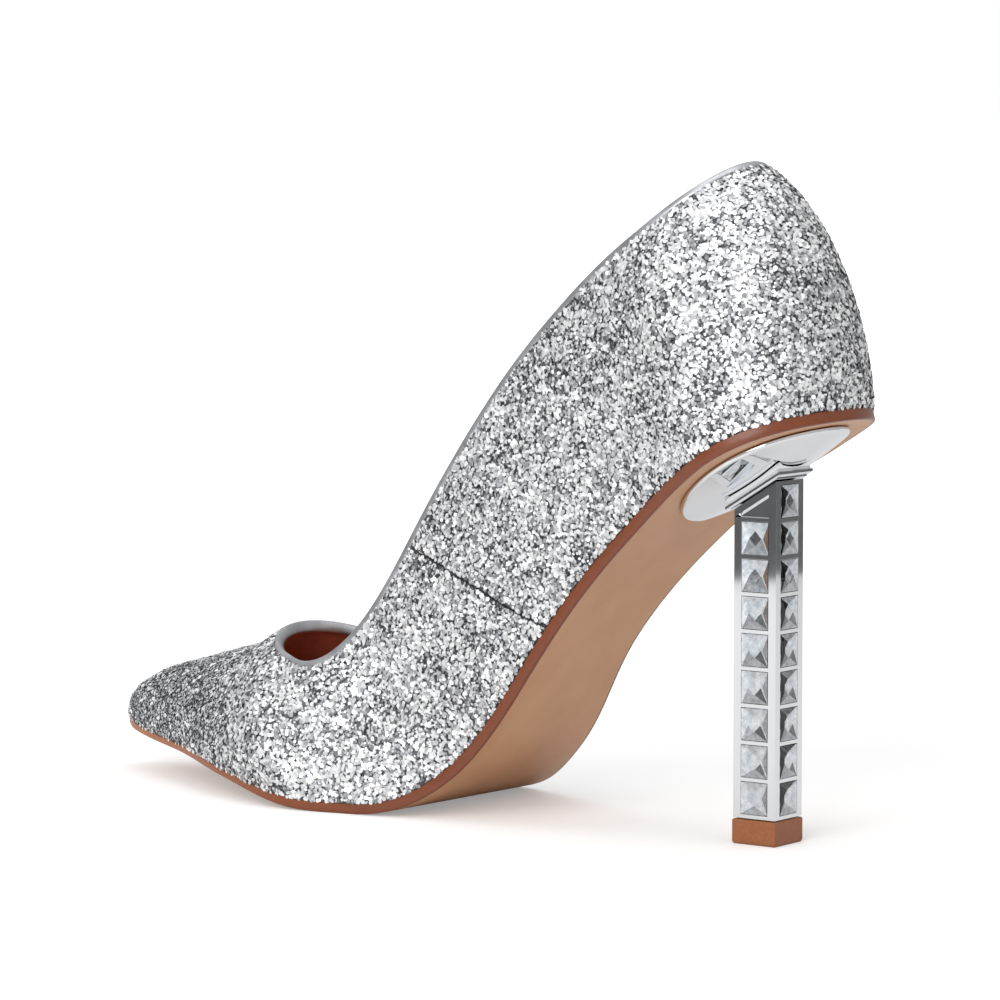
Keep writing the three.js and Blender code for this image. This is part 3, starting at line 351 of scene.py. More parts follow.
    def sheet_stations(self, inset: float) -> list[float]:
        """Places along a sheet of the sole, closer together at its round ends."""
        heel = [
            self.heel_round - (self.heel_round - inset) * max(0.0, math.cos(turn)) ** (2 / self.heel_power)
            for turn in steps(0, QUARTER, 16)
        ]
        waist = steps(self.heel_round, self.tread[0] * self.length, 56)[1:]
        toe = steps(self.tread[1] * self.length, self.toe_end(inset), 44, lambda t: 1 - (1 - t) ** 1.6)
        return [*heel, *waist, *toe]


# ---- Meshes --------------------------------------------------------------------------------------

SHARP_FOLD = math.radians(25)
LARGE_FLAT = 0.5 * MM**2
FAR_OFF = math.cos(math.radians(40))


def put(name: str, data: Any) -> Object:
    """A new object with this data, at the origin, in the scene."""
    obj = bpy.data.objects.new(name, data)
    bpy.context.scene.collection.objects.link(obj)
    return obj


def finish_mesh(bm: Skin, name: str, sharp_degrees: float, closed: bool = True) -> Object:
    """Turns a bmesh in millimetres into an object in metres.

    Args:
        bm: the mesh, which is freed here.
        name: the object's name.
        sharp_degrees: edges that fold more than this stay crisp.
        closed: whether any small hole left in the mesh is to be filled.

    Returns:
        The new object, at the origin, in the scene.
    """
    bmesh.ops.remove_doubles(bm, verts=bm.verts, dist=1e-4)
    bmesh.ops.dissolve_degenerate(bm, edges=bm.edges, dist=1e-5)
    if closed:
        bmesh.ops.holes_fill(bm, edges=[edge for edge in bm.edges if edge.is_boundary], sides=0)
    bmesh.ops.recalc_face_normals(bm, faces=bm.faces)
    limit = math.radians(sharp_degrees)
    for face in bm.faces:
        face.smooth = True
    for edge in bm.edges:
        edge.smooth = len(edge.link_faces) == 2 and edge.calc_face_angle(0.0) < limit
    bmesh.ops.transform(bm, matrix=Matrix.Scale(MM, 4), verts=bm.verts)
    mesh = bpy.data.meshes.new(name)
    bm.to_mesh(mesh)
    bm.free()
    return put(name, mesh)


def skin_between(front: Grid, back: Grid) -> Skin:
    """A closed skin from two grids of points of the same size, joined round their border."""
    bm = bmesh.new()
    ids: dict[tuple[int, ...], int] = {}
    pairs: list[tuple[Vector, Vector]] = []
    rows: list[list[int]] = []
    for front_row, back_row in zip(front, back):
        row = []
        for p, q in zip(front_row, back_row):
            key = tuple(round(v * 1e4) for v in (*p, *q))
            if key not in ids:
                ids[key] = len(pairs)
                pairs.append((p, q))
            row.append(ids[key])
        rows.append(row)
    near = [bm.verts.new(p) for p, _ in pairs]
    far = [bm.verts.new(q) for _, q in pairs]
    loops = []
    for upper, lower in zip(rows, rows[1:]):
        for j in range(len(upper) - 1):
            loop = list(dict.fromkeys((upper[j], upper[j + 1], lower[j + 1], lower[j])))
            if len(loop) >= 3:
                loops.append(loop)
    edges = {(a, b) for loop in loops for a, b in zip(loop, loop[1:] + loop[:1])}
    for loop in loops:
        bm.faces.new([near[i] for i in loop])
        bm.faces.new([far[i] for i in reversed(loop)])
    for a, b in sorted(edges):
        if (b, a) not in edges:
            bm.faces.new((near[b], near[a], far[a], far[b]))
    return bm


def loft(rings: Grid, closed: bool) -> Skin:
    """A skin over rings of points. A closed loft joins the last ring to the first one."""
    bm = bmesh.new()
    verts = [[bm.verts.new(p) for p in ring] for ring in rings]
    count = len(rings)
    for i in range(count if closed else count - 1):
        a, b = verts[i], verts[(i + 1) % count]
        for j in range(len(a)):
            k = (j + 1) % len(a)
            bm.faces.new((a[j], a[k], b[k], b[j]))
    return bm


def softened_copy(node: str, name: str, width: float, below: float = math.inf) -> Object:
    """A copy of a CAD node whose edges are rounded.

    Args:
        node: the CAD node.
        name: the new object's name.
        width: the rounding's width, in millimetres.
        below: edges that start higher than this stay sharp, because there's no room to round them.

    Returns:
        The new object.
    """
    bm = bmesh.new()
    bm.from_mesh(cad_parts[node].data)
    bmesh.ops.transform(bm, matrix=Matrix.Scale(1 / MM, 4), verts=bm.verts)
    bmesh.ops.remove_doubles(bm, verts=bm.verts, dist=1e-3)
    sharp = [
        edge
        for edge in bm.edges
        if edge.calc_face_angle(0.0) > SHARP_FOLD and min(vert.co.z for vert in edge.verts) < below
    ]
    rounding = {"offset": width, "segments": 3, "profile": 0.6, "affect": "EDGES"}
    bmesh.ops.bevel(bm, geom=sharp, clamp_overlap=True, loop_slide=True, **rounding)
    obj = finish_mesh(bm, name, 20)
    flatten_large_faces(obj.data)
    return obj


def flatten_large_faces(mesh: bpy.types.Mesh) -> None:
    """Gives each corner the normal of the largest faces round it, so that the flats shine evenly.

    A flat of more than LARGE_FLAT, or one that lies far from that normal, keeps its own.
    """
    normals = [Vector((0, 0, 0)) for _ in mesh.vertices]
    for face in mesh.polygons:
        for index in face.vertices:
            normals[index] += face.normal * (face.area / MM**2) ** 2
    corners = []
    for face in mesh.polygons:
        for index in face.vertices:
            normal = normals[index].normalized()
            flat = face.area > LARGE_FLAT or normal.dot(face.normal) < FAR_OFF
            corners.append(face.normal.copy() if flat else normal)
    mesh.normals_split_custom_set(corners)


# ---- Node trees ----------------------------------------------------------------------------------


def add(tree: Tree, kind: str, inputs: Inputs | None = None, stops: Stops = (), **settings: Any) -> Node:
    """Adds one node with its settings and links.

    Args:
        tree: the tree that gets it.
        kind: the node's type name.
        inputs: what each input takes, by its name, with #1 after it for the second of that name. It's a
            value, a node, whose first output is then meant, or a node and an output's name.
        stops: a colour ramp's (place, hex colour) pairs.
        **settings: the node's own properties.

    Returns:
        The node.
    """
    node = tree.nodes.new(kind)
    for key, value in settings.items():
        setattr(node, key, value)
    if stops:
        elements = node.color_ramp.elements
        while len(elements) < len(stops):
            elements.new(0.5)
        for element, (where, code) in zip(elements, stops):
            element.position = where
            element.color = colour(code)
    for key, value in (inputs or {}).items():
        name, _, index = key.partition("#")
        socket = [s for s in node.inputs if s.enabled and s.name == name][int(index or 0)]
        source, output = value if isinstance(value, tuple) and len(value) == 2 else (value, None)
        if isinstance(source, Node):
            tree.links.new(next(s for s in source.outputs if s.enabled and output in (None, s.name)), socket)
        else:
            socket.default_value = value
    return node


def colour(code: str) -> tuple[float, float, float, float]:
    """An sRGB hex code as linear RGBA."""
    values = [int(code[i : i + 2], 16) / 255 for i in (1, 3, 5)]
    linear = [v / 12.92 if v <= 0.04045 else ((v + 0.055) / 1.055) ** 2.4 for v in values]
    return (*linear, 1.0)


def per_metre(size_mm: float) -> float:
    """The texture scale whose features are about this many millimetres wide."""
    return 1 / (size_mm * MM)


def new_material(name: str, draw: Callable[[Tree, Any], Inputs]) -> bpy.types.Material:
    """A material with one shader.

    Args:
        name: the material's name.
        draw: takes the tree and the object's own coordinates, draws nodes, and returns the shader's inputs.

    Returns:
        The material.
    """
    material = bpy.data.materials.new(name)
    material.use_nodes = True
    tree = material.node_tree
    tree.nodes.clear()
    place = (add(tree, "ShaderNodeTexCoord"), "Object")
    shader = add(tree, "ShaderNodeBsdfPrincipled", draw(tree, place))
    add(tree, "ShaderNodeOutputMaterial", {"Surface": shader}, is_active_output=True)
    return material


# ---- Finishes ------------------------------------------------------------------------------------


@dataclass(frozen=True)
class Finish:
    """A procedural material. Each kind of finish draws its own node tree."""

    name: str

    def draw(self, tree: Tree, place: Any) -> Inputs:
        """Draws the finish's nodes on the object's coordinates, and returns its shader's inputs."""
        raise NotImplementedError


@dataclass(frozen=True)
class Grained(Finish):
    """A foiled, calendered or moulded material: cloudy colour, and a grain that sets gloss and relief."""

    shadow: str
    tint: str
    cloud_mm: float
    cloud_detail: float
    grain_mm: float
    grain_detail: float
    depth_mm: float
    gloss: tuple[float, float]
    metallic: float = 0.0
    strength: float = 1.0

    def draw(self, tree: Tree, place: Any) -> Inputs:
        """One noise for the clouds and one for the grain."""
        scale = {"Scale": per_metre(self.cloud_mm), "Detail": self.cloud_detail}
        clouds = add(tree, "ShaderNodeTexNoise", {"Vector": place, **scale})
        shade = add(tree, "ShaderNodeValToRGB", {"Fac": clouds}, ((0.3, self.shadow), (0.7, self.tint)))
        scale = {"Scale": per_metre(self.grain_mm), "Detail": self.grain_detail}
        grain = add(tree, "ShaderNodeTexNoise", {"Vector": place, **scale})
        low, high = self.gloss
        dull = add(tree, "ShaderNodeMapRange", {"Value": grain, "To Min": low, "To Max": high})
        relief = {"Height": grain, "Distance": self.depth_mm * MM, "Strength": self.strength}
        bump = add(tree, "ShaderNodeBump", relief)
        return {"Base Color": shade, "Metallic": self.metallic, "Roughness": dull, "Normal": bump}


@dataclass(frozen=True)
class GlitterGroundWithPaintedGapShade(Finish):
    """Fine glitter rolled into glue on woven cloth: a grainy ground that shows between the flakes. Its dark
    shades are partly its own colour and partly painted shade in the gaps between the flakes.
    """

    grain_mm: float = 0.34
    depth_mm: float = 0.12
    # The dark stops are the ground's own grain, darkened further as painted shade between the flakes.
    shades: Stops = ((0.0, "#1c1d20"), (0.6, "#5c5d60"), (0.9, "#5c5d60"), (1.0, "#e4e5e7"))

    def draw(self, tree: Tree, place: Any) -> Inputs:
        """Each cell of a fine cell pattern is one grain, with its own brightness and its own tilt."""
        cells = add(tree, "ShaderNodeTexVoronoi", {"Vector": place, "Scale": per_metre(self.grain_mm)})
        value = add(tree, "ShaderNodeSeparateColor", {"Color": (cells, "Color")})
        shade = add(tree, "ShaderNodeValToRGB", {"Fac": value}, self.shades)
        relief = {"Height": (cells, "Distance"), "Distance": self.depth_mm * MM, "Strength": 1.0}
        bump = add(tree, "ShaderNodeBump", relief)
        return {"Base Color": shade, "Metallic": 0.7, "Roughness": 0.42, "Normal": bump}


@dataclass(frozen=True)
class GlitterFlake(Finish):
    """Cut polyester foil, vacuum-coated with aluminium. Each flake's shade is painted: a stored tone, from
    near black to white, stands in for how its tilt catches the light, as painted reflection.
    """

    # Near black to white: painted reflection and painted glints, in place of each flake's tilt catching the
    # light.
    shades: Stops = ((0, "#3c3d40"), (0.14, "#808184"), (0.4, "#bfc0c3"), (0.7, "#eaebec"), (1, "#ffffff"))

    def draw(self, tree: Tree, place: Any) -> Inputs:
        """The painted reflection's shade comes from a number stored on each flake."""
        tone = (add(tree, "ShaderNodeAttribute", attribute_name="tone"), "Fac")
        shade = add(tree, "ShaderNodeValToRGB", {"Fac": tone}, self.shades)
        fine = add(tree, "ShaderNodeTexNoise", {"Vector": place, "Scale": per_metre(0.25), "Detail": 3.0})
        dull = add(tree, "ShaderNodeMapRange", {"Value": fine, "To Min": 0.26, "To Max": 0.44})
        return {"Base Color": shade, "Metallic": 0.6, "Roughness": dull}


@dataclass(frozen=True)
class LiningLeather(Finish):
    """Smooth pigmented lining leather: even colour, fine pores, a dull shine."""

    tint: str
    shadow: str
    roughness: float = 0.52

    def draw(self, tree: Tree, place: Any) -> Inputs:
        """Soft mottling, with pores as bump."""
        clouds = add(tree, "ShaderNodeTexNoise", {"Vector": place, "Scale": per_metre(5), "Detail": 4.0})
        shade = add(tree, "ShaderNodeValToRGB", {"Fac": clouds}, ((0.3, self.shadow), (0.72, self.tint)))
        pores = add(tree, "ShaderNodeTexVoronoi", {"Vector": place, "Scale": per_metre(0.45)})
        bump = add(tree, "ShaderNodeBump", {"Height": pores, "Distance": 0.04 * MM, "Strength": 0.6})
        return {"Base Color": shade, "Roughness": self.roughness, "Normal": bump}


@dataclass(frozen=True)
class EdgePaint(Finish):
    """Acrylic edge paint on the outsole's trimmed edge: streaks along the edge and a satin film."""

    tints: Stops = ((0.0, "#783a18"), (1.0, "#a65a26"))
    streak_mm: float = 0.4

    def draw(self, tree: Tree, place: Any) -> Inputs:
        """Lighter and redder towards the toe, with fine brush streaks."""
        x = add(tree, "ShaderNodeSeparateXYZ", {"Vector": place})
        along = add(tree, "ShaderNodeMapRange", {"Value": x, "From Min": 0.1, "From Max": 0.19})
        tint = add(tree, "ShaderNodeValToRGB", {"Fac": along}, self.tints)
        stretch = {"Vector": place, "Vector#1": (0.15, 0.15, 1.0)}
        stretched = add(tree, "ShaderNodeVectorMath", stretch, operation="MULTIPLY")
        scale = {"Scale": per_metre(self.streak_mm), "Detail": 3.0}
        streaks = add(tree, "ShaderNodeTexNoise", {"Vector": stretched, **scale})
        value = add(tree, "ShaderNodeMapRange", {"Value": streaks, "To Min": 0.78, "To Max": 1.18})
        shaded = add(tree, "ShaderNodeHueSaturation", {"Color": tint, "Value": value})
        dull = add(tree, "ShaderNodeMapRange", {"Value": streaks, "To Min": 0.3, "To Max": 0.42})
        bump = add(tree, "ShaderNodeBump", {"Height": streaks, "Distance": 0.03 * MM, "Strength": 1.0})
        film = {"Coat Weight": 0.25, "Coat Roughness": 0.25}
        return {"Base Color": shaded, "Roughness": dull, "Normal": bump, **film}


@dataclass(frozen=True)
class Metal(Finish):
    """Plain or plated metal. The polish leaves hairlines, which show as small changes of roughness."""

    tint: str
    roughness: float
    hairline_mm: float = 0.12

    def draw(self, tree: Tree, place: Any) -> Inputs:
        """Hairlines run along the column."""
        stretch = {"Vector": place, "Vector#1": (1.0, 1.0, 0.06)}
        stretched = add(tree, "ShaderNodeVectorMath", stretch, operation="MULTIPLY")
        scale = {"Scale": per_metre(self.hairline_mm), "Detail": 2.0}
        lines = add(tree, "ShaderNodeTexNoise", {"Vector": stretched, **scale})
        ends = {"To Min": self.roughness * 0.6, "To Max": self.roughness * 1.5}
        rough = add(tree, "ShaderNodeMapRange", {"Value": lines, **ends})
        return {"Base Color": colour(self.tint), "Metallic": 1.0, "Roughness": rough}


@dataclass(frozen=True)
class CutGlass(Finish):
    """Clear lead-free crystal, cut and fire-polished."""

    tint: str = "#f6f9fb"

    def draw(self, tree: Tree, place: Any) -> Inputs:
        """Clear glass with the faint unevenness of a polished facet."""
        uneven = add(tree, "ShaderNodeTexNoise", {"Vector": place, "Scale": per_metre(1.5), "Detail": 1.0})
        bump = add(tree, "ShaderNodeBump", {"Height": uneven, "Distance": 0.01 * MM, "Strength": 0.4})
        glass = {"Roughness": 0.0, "IOR": 1.56, "Transmission Weight": 1.0}
        return {"Base Color": colour(self.tint), "Normal": bump, **glass}


@dataclass(frozen=True)
class StoneFoil(Finish):
    """The silver foil on the back of a crystal, which throws the light back out of it."""

    shades: Stops = ((0.3, "#c9ccd0"), (0.7, "#f4f6f8"))

    def draw(self, tree: Tree, place: Any) -> Inputs:
        """Bright metal with small cloudy patches."""
        clouds = add(tree, "ShaderNodeTexNoise", {"Vector": place, "Scale": per_metre(1.2), "Detail": 3.0})
        shade = add(tree, "ShaderNodeValToRGB", {"Fac": clouds}, self.shades)
        return {"Base Color": shade, "Metallic": 1.0, "Roughness": 0.05}


def moulded(name: str, tint: str, shadow: str, grain_mm: float, depth_mm: float, roughness: float) -> Grained:
    """A pressed or cast material without a pattern, whose one grain sets its colour, gloss and relief."""
    gloss = (roughness - 0.06, roughness + 0.06)
    return Grained(name, shadow, tint, grain_mm, 5.0, grain_mm, 5.0, depth_mm, gloss)


FINISHES: dict[str, Finish] = {
    # Dark ground: partly its own colour, partly painted shade between the flakes.
    "ground": GlitterGroundWithPaintedGapShade("glitter_ground_painted_gap_shade"),
    # Each flake's shade is painted reflection, with painted glints at white.
    "flake": GlitterFlake("aluminised_flake_painted_glint"),
    # Synthetic leather with a transferred silver foil: a soft metal sheen over fine creases.
    "binding": Grained(
        "silver_foiled_leather", "#9c9da0", "#bfc0c3", 6.0, 3.0, 0.22, 4.0, 0.03, (0.26, 0.44), metallic=0.85
    ),
    "lining": LiningLeather("brown_lining_leather", "#bd7257", "#a35f48"),
    "sock": LiningLeather("brown_sock_leather", "#c07a5c", "#ab6a50", 0.45),
    "edge": EdgePaint("acrylic_edge_paint"),
    # Calendered synthetic sheet: a nude colour, very slightly pebbled, with a low shine.
    "sole": Grained(
        "calendered_outsole_sheet", "#c28e66", "#cd9a72", 14.0, 4.0, 0.6, 2.0, 0.03, (0.34, 0.46), 0.0, 0.7
    ),
    "chrome": Metal("bright_chrome_plating", "#eceef0", 0.045),
    "steel": Metal("drawn_steel", "#a6a7a9", 0.34),
    "glass": CutGlass("cut_crystal"),
    "foil": StoneFoil("crystal_back_foil"),
    "top_lift": moulded("moulded_urethane_top_lift", "#9c6039", "#8f5430", 0.8, 0.02, 0.4),
    "foam": moulded("open_cell_foam", "#e6dcc8", "#cfc3ab", 0.5, 0.12, 0.92),
    "felt": moulded("needled_felt", "#54432f", "#3a2c1e", 0.4, 0.2, 0.95),
    "board": moulded("pressed_cellulose_board", "#957b5d", "#7f684c", 0.7, 0.08, 0.88),
    "stiffener": moulded("thermoplastic_nonwoven", "#ddd3bf", "#c8bda6", 0.5, 0.06, 0.8),
}


class FinishShop:
    """Builds each finish once and dresses pieces with it."""

    def __init__(self) -> None:
        """Starts with no finish built."""
        self.made: dict[str, bpy.types.Material] = {}

    def get(self, key: str) -> bpy.types.Material:
        """The material of a finish."""
        if key not in self.made:
            self.made[key] = new_material(FINISHES[key].name, FINISHES[key].draw)
        return self.made[key]

    def dress(self, obj: Object, *keys: str) -> None:
        """Gives an object its materials, in slot order. A CAD node's own slots are filled instead."""
        for slot in obj.material_slots:
            slot.link = "OBJECT"
            slot.material = self.get(keys[0])
        if not obj.material_slots:
            for key in keys:
                obj.data.materials.append(self.get(key))


# ---- Geometry Nodes ------------------------------------------------------------------------------


class GeometryTool:
    """A Geometry Nodes group with named inputs, run once on an object to make a plain mesh."""

    def __init__(self, name: str, inputs: dict[str, str]) -> None:
        """Starts a group.

        Args:
            name: the group's name.
            inputs: each input's socket type, without NodeSocket before it, by the input's name.
        """
        self.tree = bpy.data.node_groups.new(name, "GeometryNodeTree")
        self.sockets: dict[str, str] = {}
        panel = self.tree.interface
        for way in ("INPUT", "OUTPUT"):
            panel.new_socket("Geometry", in_out=way, socket_type="NodeSocketGeometry")
        for key, kind in inputs.items():
            socket = panel.new_socket(key, in_out="INPUT", socket_type=f"NodeSocket{kind}")
            self.sockets[key] = socket.identifier
        self.inlet = add(self.tree, "NodeGroupInput")

    def end(self, instances: Node, backing: bool = False) -> None:
        """Realises the instances, dresses them and closes the group.

        Args:
            instances: the node that makes them.
            backing: whether faces whose attribute backing is 1 get the input Backing.
        """
        real = add(self.tree, "GeometryNodeRealizeInstances", {"Geometry": instances})
        inputs = {"Geometry": real, "Material": (self.inlet, "Material")}
        dressed = add(self.tree, "GeometryNodeSetMaterial", inputs)
        if backing:
            kind = "GeometryNodeInputNamedAttribute"
            chosen = add(self.tree, kind, {"Name": "backing"}, data_type="BOOLEAN")
            inputs = {"Geometry": dressed, "Selection": chosen, "Material": (self.inlet, "Backing")}
            dressed = add(self.tree, "GeometryNodeSetMaterial", inputs)
        add(self.tree, "NodeGroupOutput", {"Geometry": dressed})

    def run(self, emitter: Object, name: str, values: Inputs) -> Object:
        """Runs the group on an emitter, which is used up.

        Args:
            emitter: the object that carries the group's input mesh.
            name: the name of the object that is made.
            values: the group's inputs by name.

        Returns:
            A plain mesh object with no modifier.
        """
        modifier = emitter.modifiers.new(name, "NODES")
        modifier.node_group = self.tree
        for key, value in values.items():
            modifier[self.sockets[key]] = value
        emitter.update_tag()
        bpy.context.view_layer.update()
        graph = bpy.context.evaluated_depsgraph_get()
        mesh = bpy.data.meshes.new_from_object(emitter.evaluated_get(graph), depsgraph=graph)
        mesh.name = name
        bpy.data.objects.remove(emitter)
        return put(name, mesh)


def flake_tool() -> GeometryTool:
    """Scatters hexagonal foil flakes over a skin, each with a painted reflection tone. The skin's attribute
    fine makes them small and dull.
    """
    sizes = dict.fromkeys(("Spacing", "Density", "Radius", "Tilt", "Lift"), "Float")
    tool = GeometryTool("scatter_flakes", {**sizes, "Seed": "Int", "Material": "Material"})
    tree, inlet = tool.tree, tool.inlet
    fine = add(tree, "GeometryNodeInputNamedAttribute", {"Name": "fine"}, data_type="FLOAT")
    skin = {"Mesh": (inlet, "Geometry"), "Seed": (inlet, "Seed")}
    packing = {"Distance Min": (inlet, "Spacing"), "Density Max": (inlet, "Density")}
    kind = "GeometryNodeDistributePointsOnFaces"
    points = add(tree, kind, {**skin, **packing}, distribute_method="POISSON")
    here = add(tree, "GeometryNodeInputPosition")
    clouds = add(tree, "ShaderNodeTexNoise", {"Vector": here, "Scale": per_metre(7), "Detail": 2.0})
    patch = add(tree, "ShaderNodeMapRange", {"Value": clouds, "From Min": 0.32, "From Max": 0.68})
    tilt = (inlet, "Tilt")
    less = add(tree, "ShaderNodeMath", {"Value": tilt, "Value#1": -1.0}, operation="MULTIPLY")

    # Each row is one random value from its low end to its high end. The rows' order sets their seeds.
    values: Inputs = {"fine": fine, "patch": patch}
    for salt, (name, low, high) in enumerate(
        (
            ("tilt x", less, tilt),
            ("tilt y", less, tilt),
            ("turn", 0.0, math.tau),
            ("basic size", 0.5, 0.95),
            ("height", 0.0, (inlet, "Lift")),
            # basic tone: each flake's painted reflection, from dark to bright.
            ("basic tone", -0.05, 0.95),
            ("luck", 0.0, 1.0),
        ),
        start=1,
    ):
        terms = {"Value": (inlet, "Seed"), "Value#1": float(salt)}
        seed = add(tree, "ShaderNodeMath", terms, operation="ADD")
        ends = {"Min": low, "Max": high, "Seed": seed}
        values[name] = add(tree, "FunctionNodeRandomValue", ends, data_type="FLOAT")

    # Each row is one sum on earlier rows. One flake in twenty is a painted glint, full in size and white. The
    # tone is each flake's painted reflection: lighter in broad clouds, duller where the skin is fine.
    for name, operation, first, second in (
        ("patch size", "MULTIPLY", "patch", 0.22),
        ("coarse size", "ADD", "basic size", "patch size"),
        ("size lost", "MULTIPLY", "fine", 0.34),
        ("size kept", "SUBTRACT", 1.0, "size lost"),
        ("even size", "MULTIPLY", "coarse size", "size kept"),
        ("painted_glint", "LESS_THAN", "luck", 0.05),
        ("spark size", "MULTIPLY", "painted_glint", 0.95),
        ("size", "MAXIMUM", "even size", "spark size"),
        ("tone lost", "MULTIPLY", "fine", 0.5),
        ("tone kept", "SUBTRACT", 1.0, "tone lost"),
        ("patch tone", "MULTIPLY", "patch", 0.34),
        ("coarse tone", "ADD", "basic tone", "patch tone"),
        ("even tone", "MULTIPLY", "coarse tone", "tone kept"),
        ("tone lift", "MULTIPLY", "fine", 0.2),
        ("lifted tone", "ADD", "even tone", "tone lift"),
        ("tone", "MAXIMUM", "lifted tone", "painted_glint"),
    ):
        terms = {"Value": values.get(first, first), "Value#1": values.get(second, second)}
        values[name] = add(tree, "ShaderNodeMath", terms, operation=operation)

    angles = {"X": values["tilt x"], "Y": values["tilt y"], "Z": values["turn"]}
    turn = add(tree, "FunctionNodeEulerToRotation", {"Euler": add(tree, "ShaderNodeCombineXYZ", angles)})
    turns = {"Rotation": (points, "Rotation"), "Rotate By": turn}
    lie = add(tree, "FunctionNodeRotateRotation", turns, rotation_space="LOCAL")
    lift = {"Vector": (points, "Normal"), "Scale": values["height"]}
    raise_by = add(tree, "ShaderNodeVectorMath", lift, operation="SCALE")
    raised = add(tree, "GeometryNodeSetPosition", {"Geometry": points, "Offset": raise_by})
    hexagon = {"Vertices": 6, "Radius": (inlet, "Radius")}
    flake = add(tree, "GeometryNodeMeshCircle", hexagon, fill_type="NGON")
    inputs = {"Points": raised, "Instance": flake, "Rotation": lie, "Scale": values["size"]}
    flakes = add(tree, "GeometryNodeInstanceOnPoints", inputs)
    # The stored tone is the flake's painted reflection and painted glint.
    inputs = {"Geometry": flakes, "Name": "tone", "Value": values["tone"]}
    kind = "GeometryNodeStoreNamedAttribute"
    tool.end(add(tree, kind, inputs, data_type="FLOAT", domain="INSTANCE"))
    return tool


def setting_tool() -> GeometryTool:
    """Sets one template on every point of a mesh, turned about Z by the point's attribute turn."""
    tool = GeometryTool("set_stones", {"Template": "Object", "Backing": "Material", "Material": "Material"})
    tree, inlet = tool.tree, tool.inlet
    template = add(tree, "GeometryNodeObjectInfo", {"Object": (inlet, "Template")})
    turn = add(tree, "GeometryNodeInputNamedAttribute", {"Name": "turn"}, data_type="FLOAT")
    angles = add(tree, "ShaderNodeCombineXYZ", {"Z": turn})
    rotation = add(tree, "FunctionNodeEulerToRotation", {"Euler": angles})
    points = add(tree, "GeometryNodeMeshToPoints", {"Mesh": (inlet, "Geometry")})
    inputs = {"Points": points, "Instance": (template, "Geometry"), "Rotation": rotation}
    tool.end(add(tree, "GeometryNodeInstanceOnPoints", inputs), backing=True)
    return tool


# ---- Sub-assemblies ------------------------------------------------------------------------------


@dataclass
class Assembly:
    """Pieces of one sub-assembly, which all ride on the shoe's one body."""

    last: Last
    shop: FinishShop

    def place(self, obj: Object, *nodes: str, slot: str, dress: Sequence[str] = ()) -> Object:
        """Dresses a piece, puts it on the frame in place of CAD nodes, and reports it.

        Args:
            obj: the piece.
            *nodes: the CAD nodes that it stands for.
            slot: the record's material slot. It is not used.
            dress: its finishes, unless it has its materials already.

        Returns:
            The piece.
        """
        if dress:
            self.shop.dress(obj, *dress)
        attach(obj, BODY)
        if nodes:
            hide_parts(*nodes)
        kept = ", ".join(nodes[:2]) or "its neighbour"
        log.info("%-22s %7d faces, for %s", obj.name, len(obj.data.polygons), kept)
        return obj


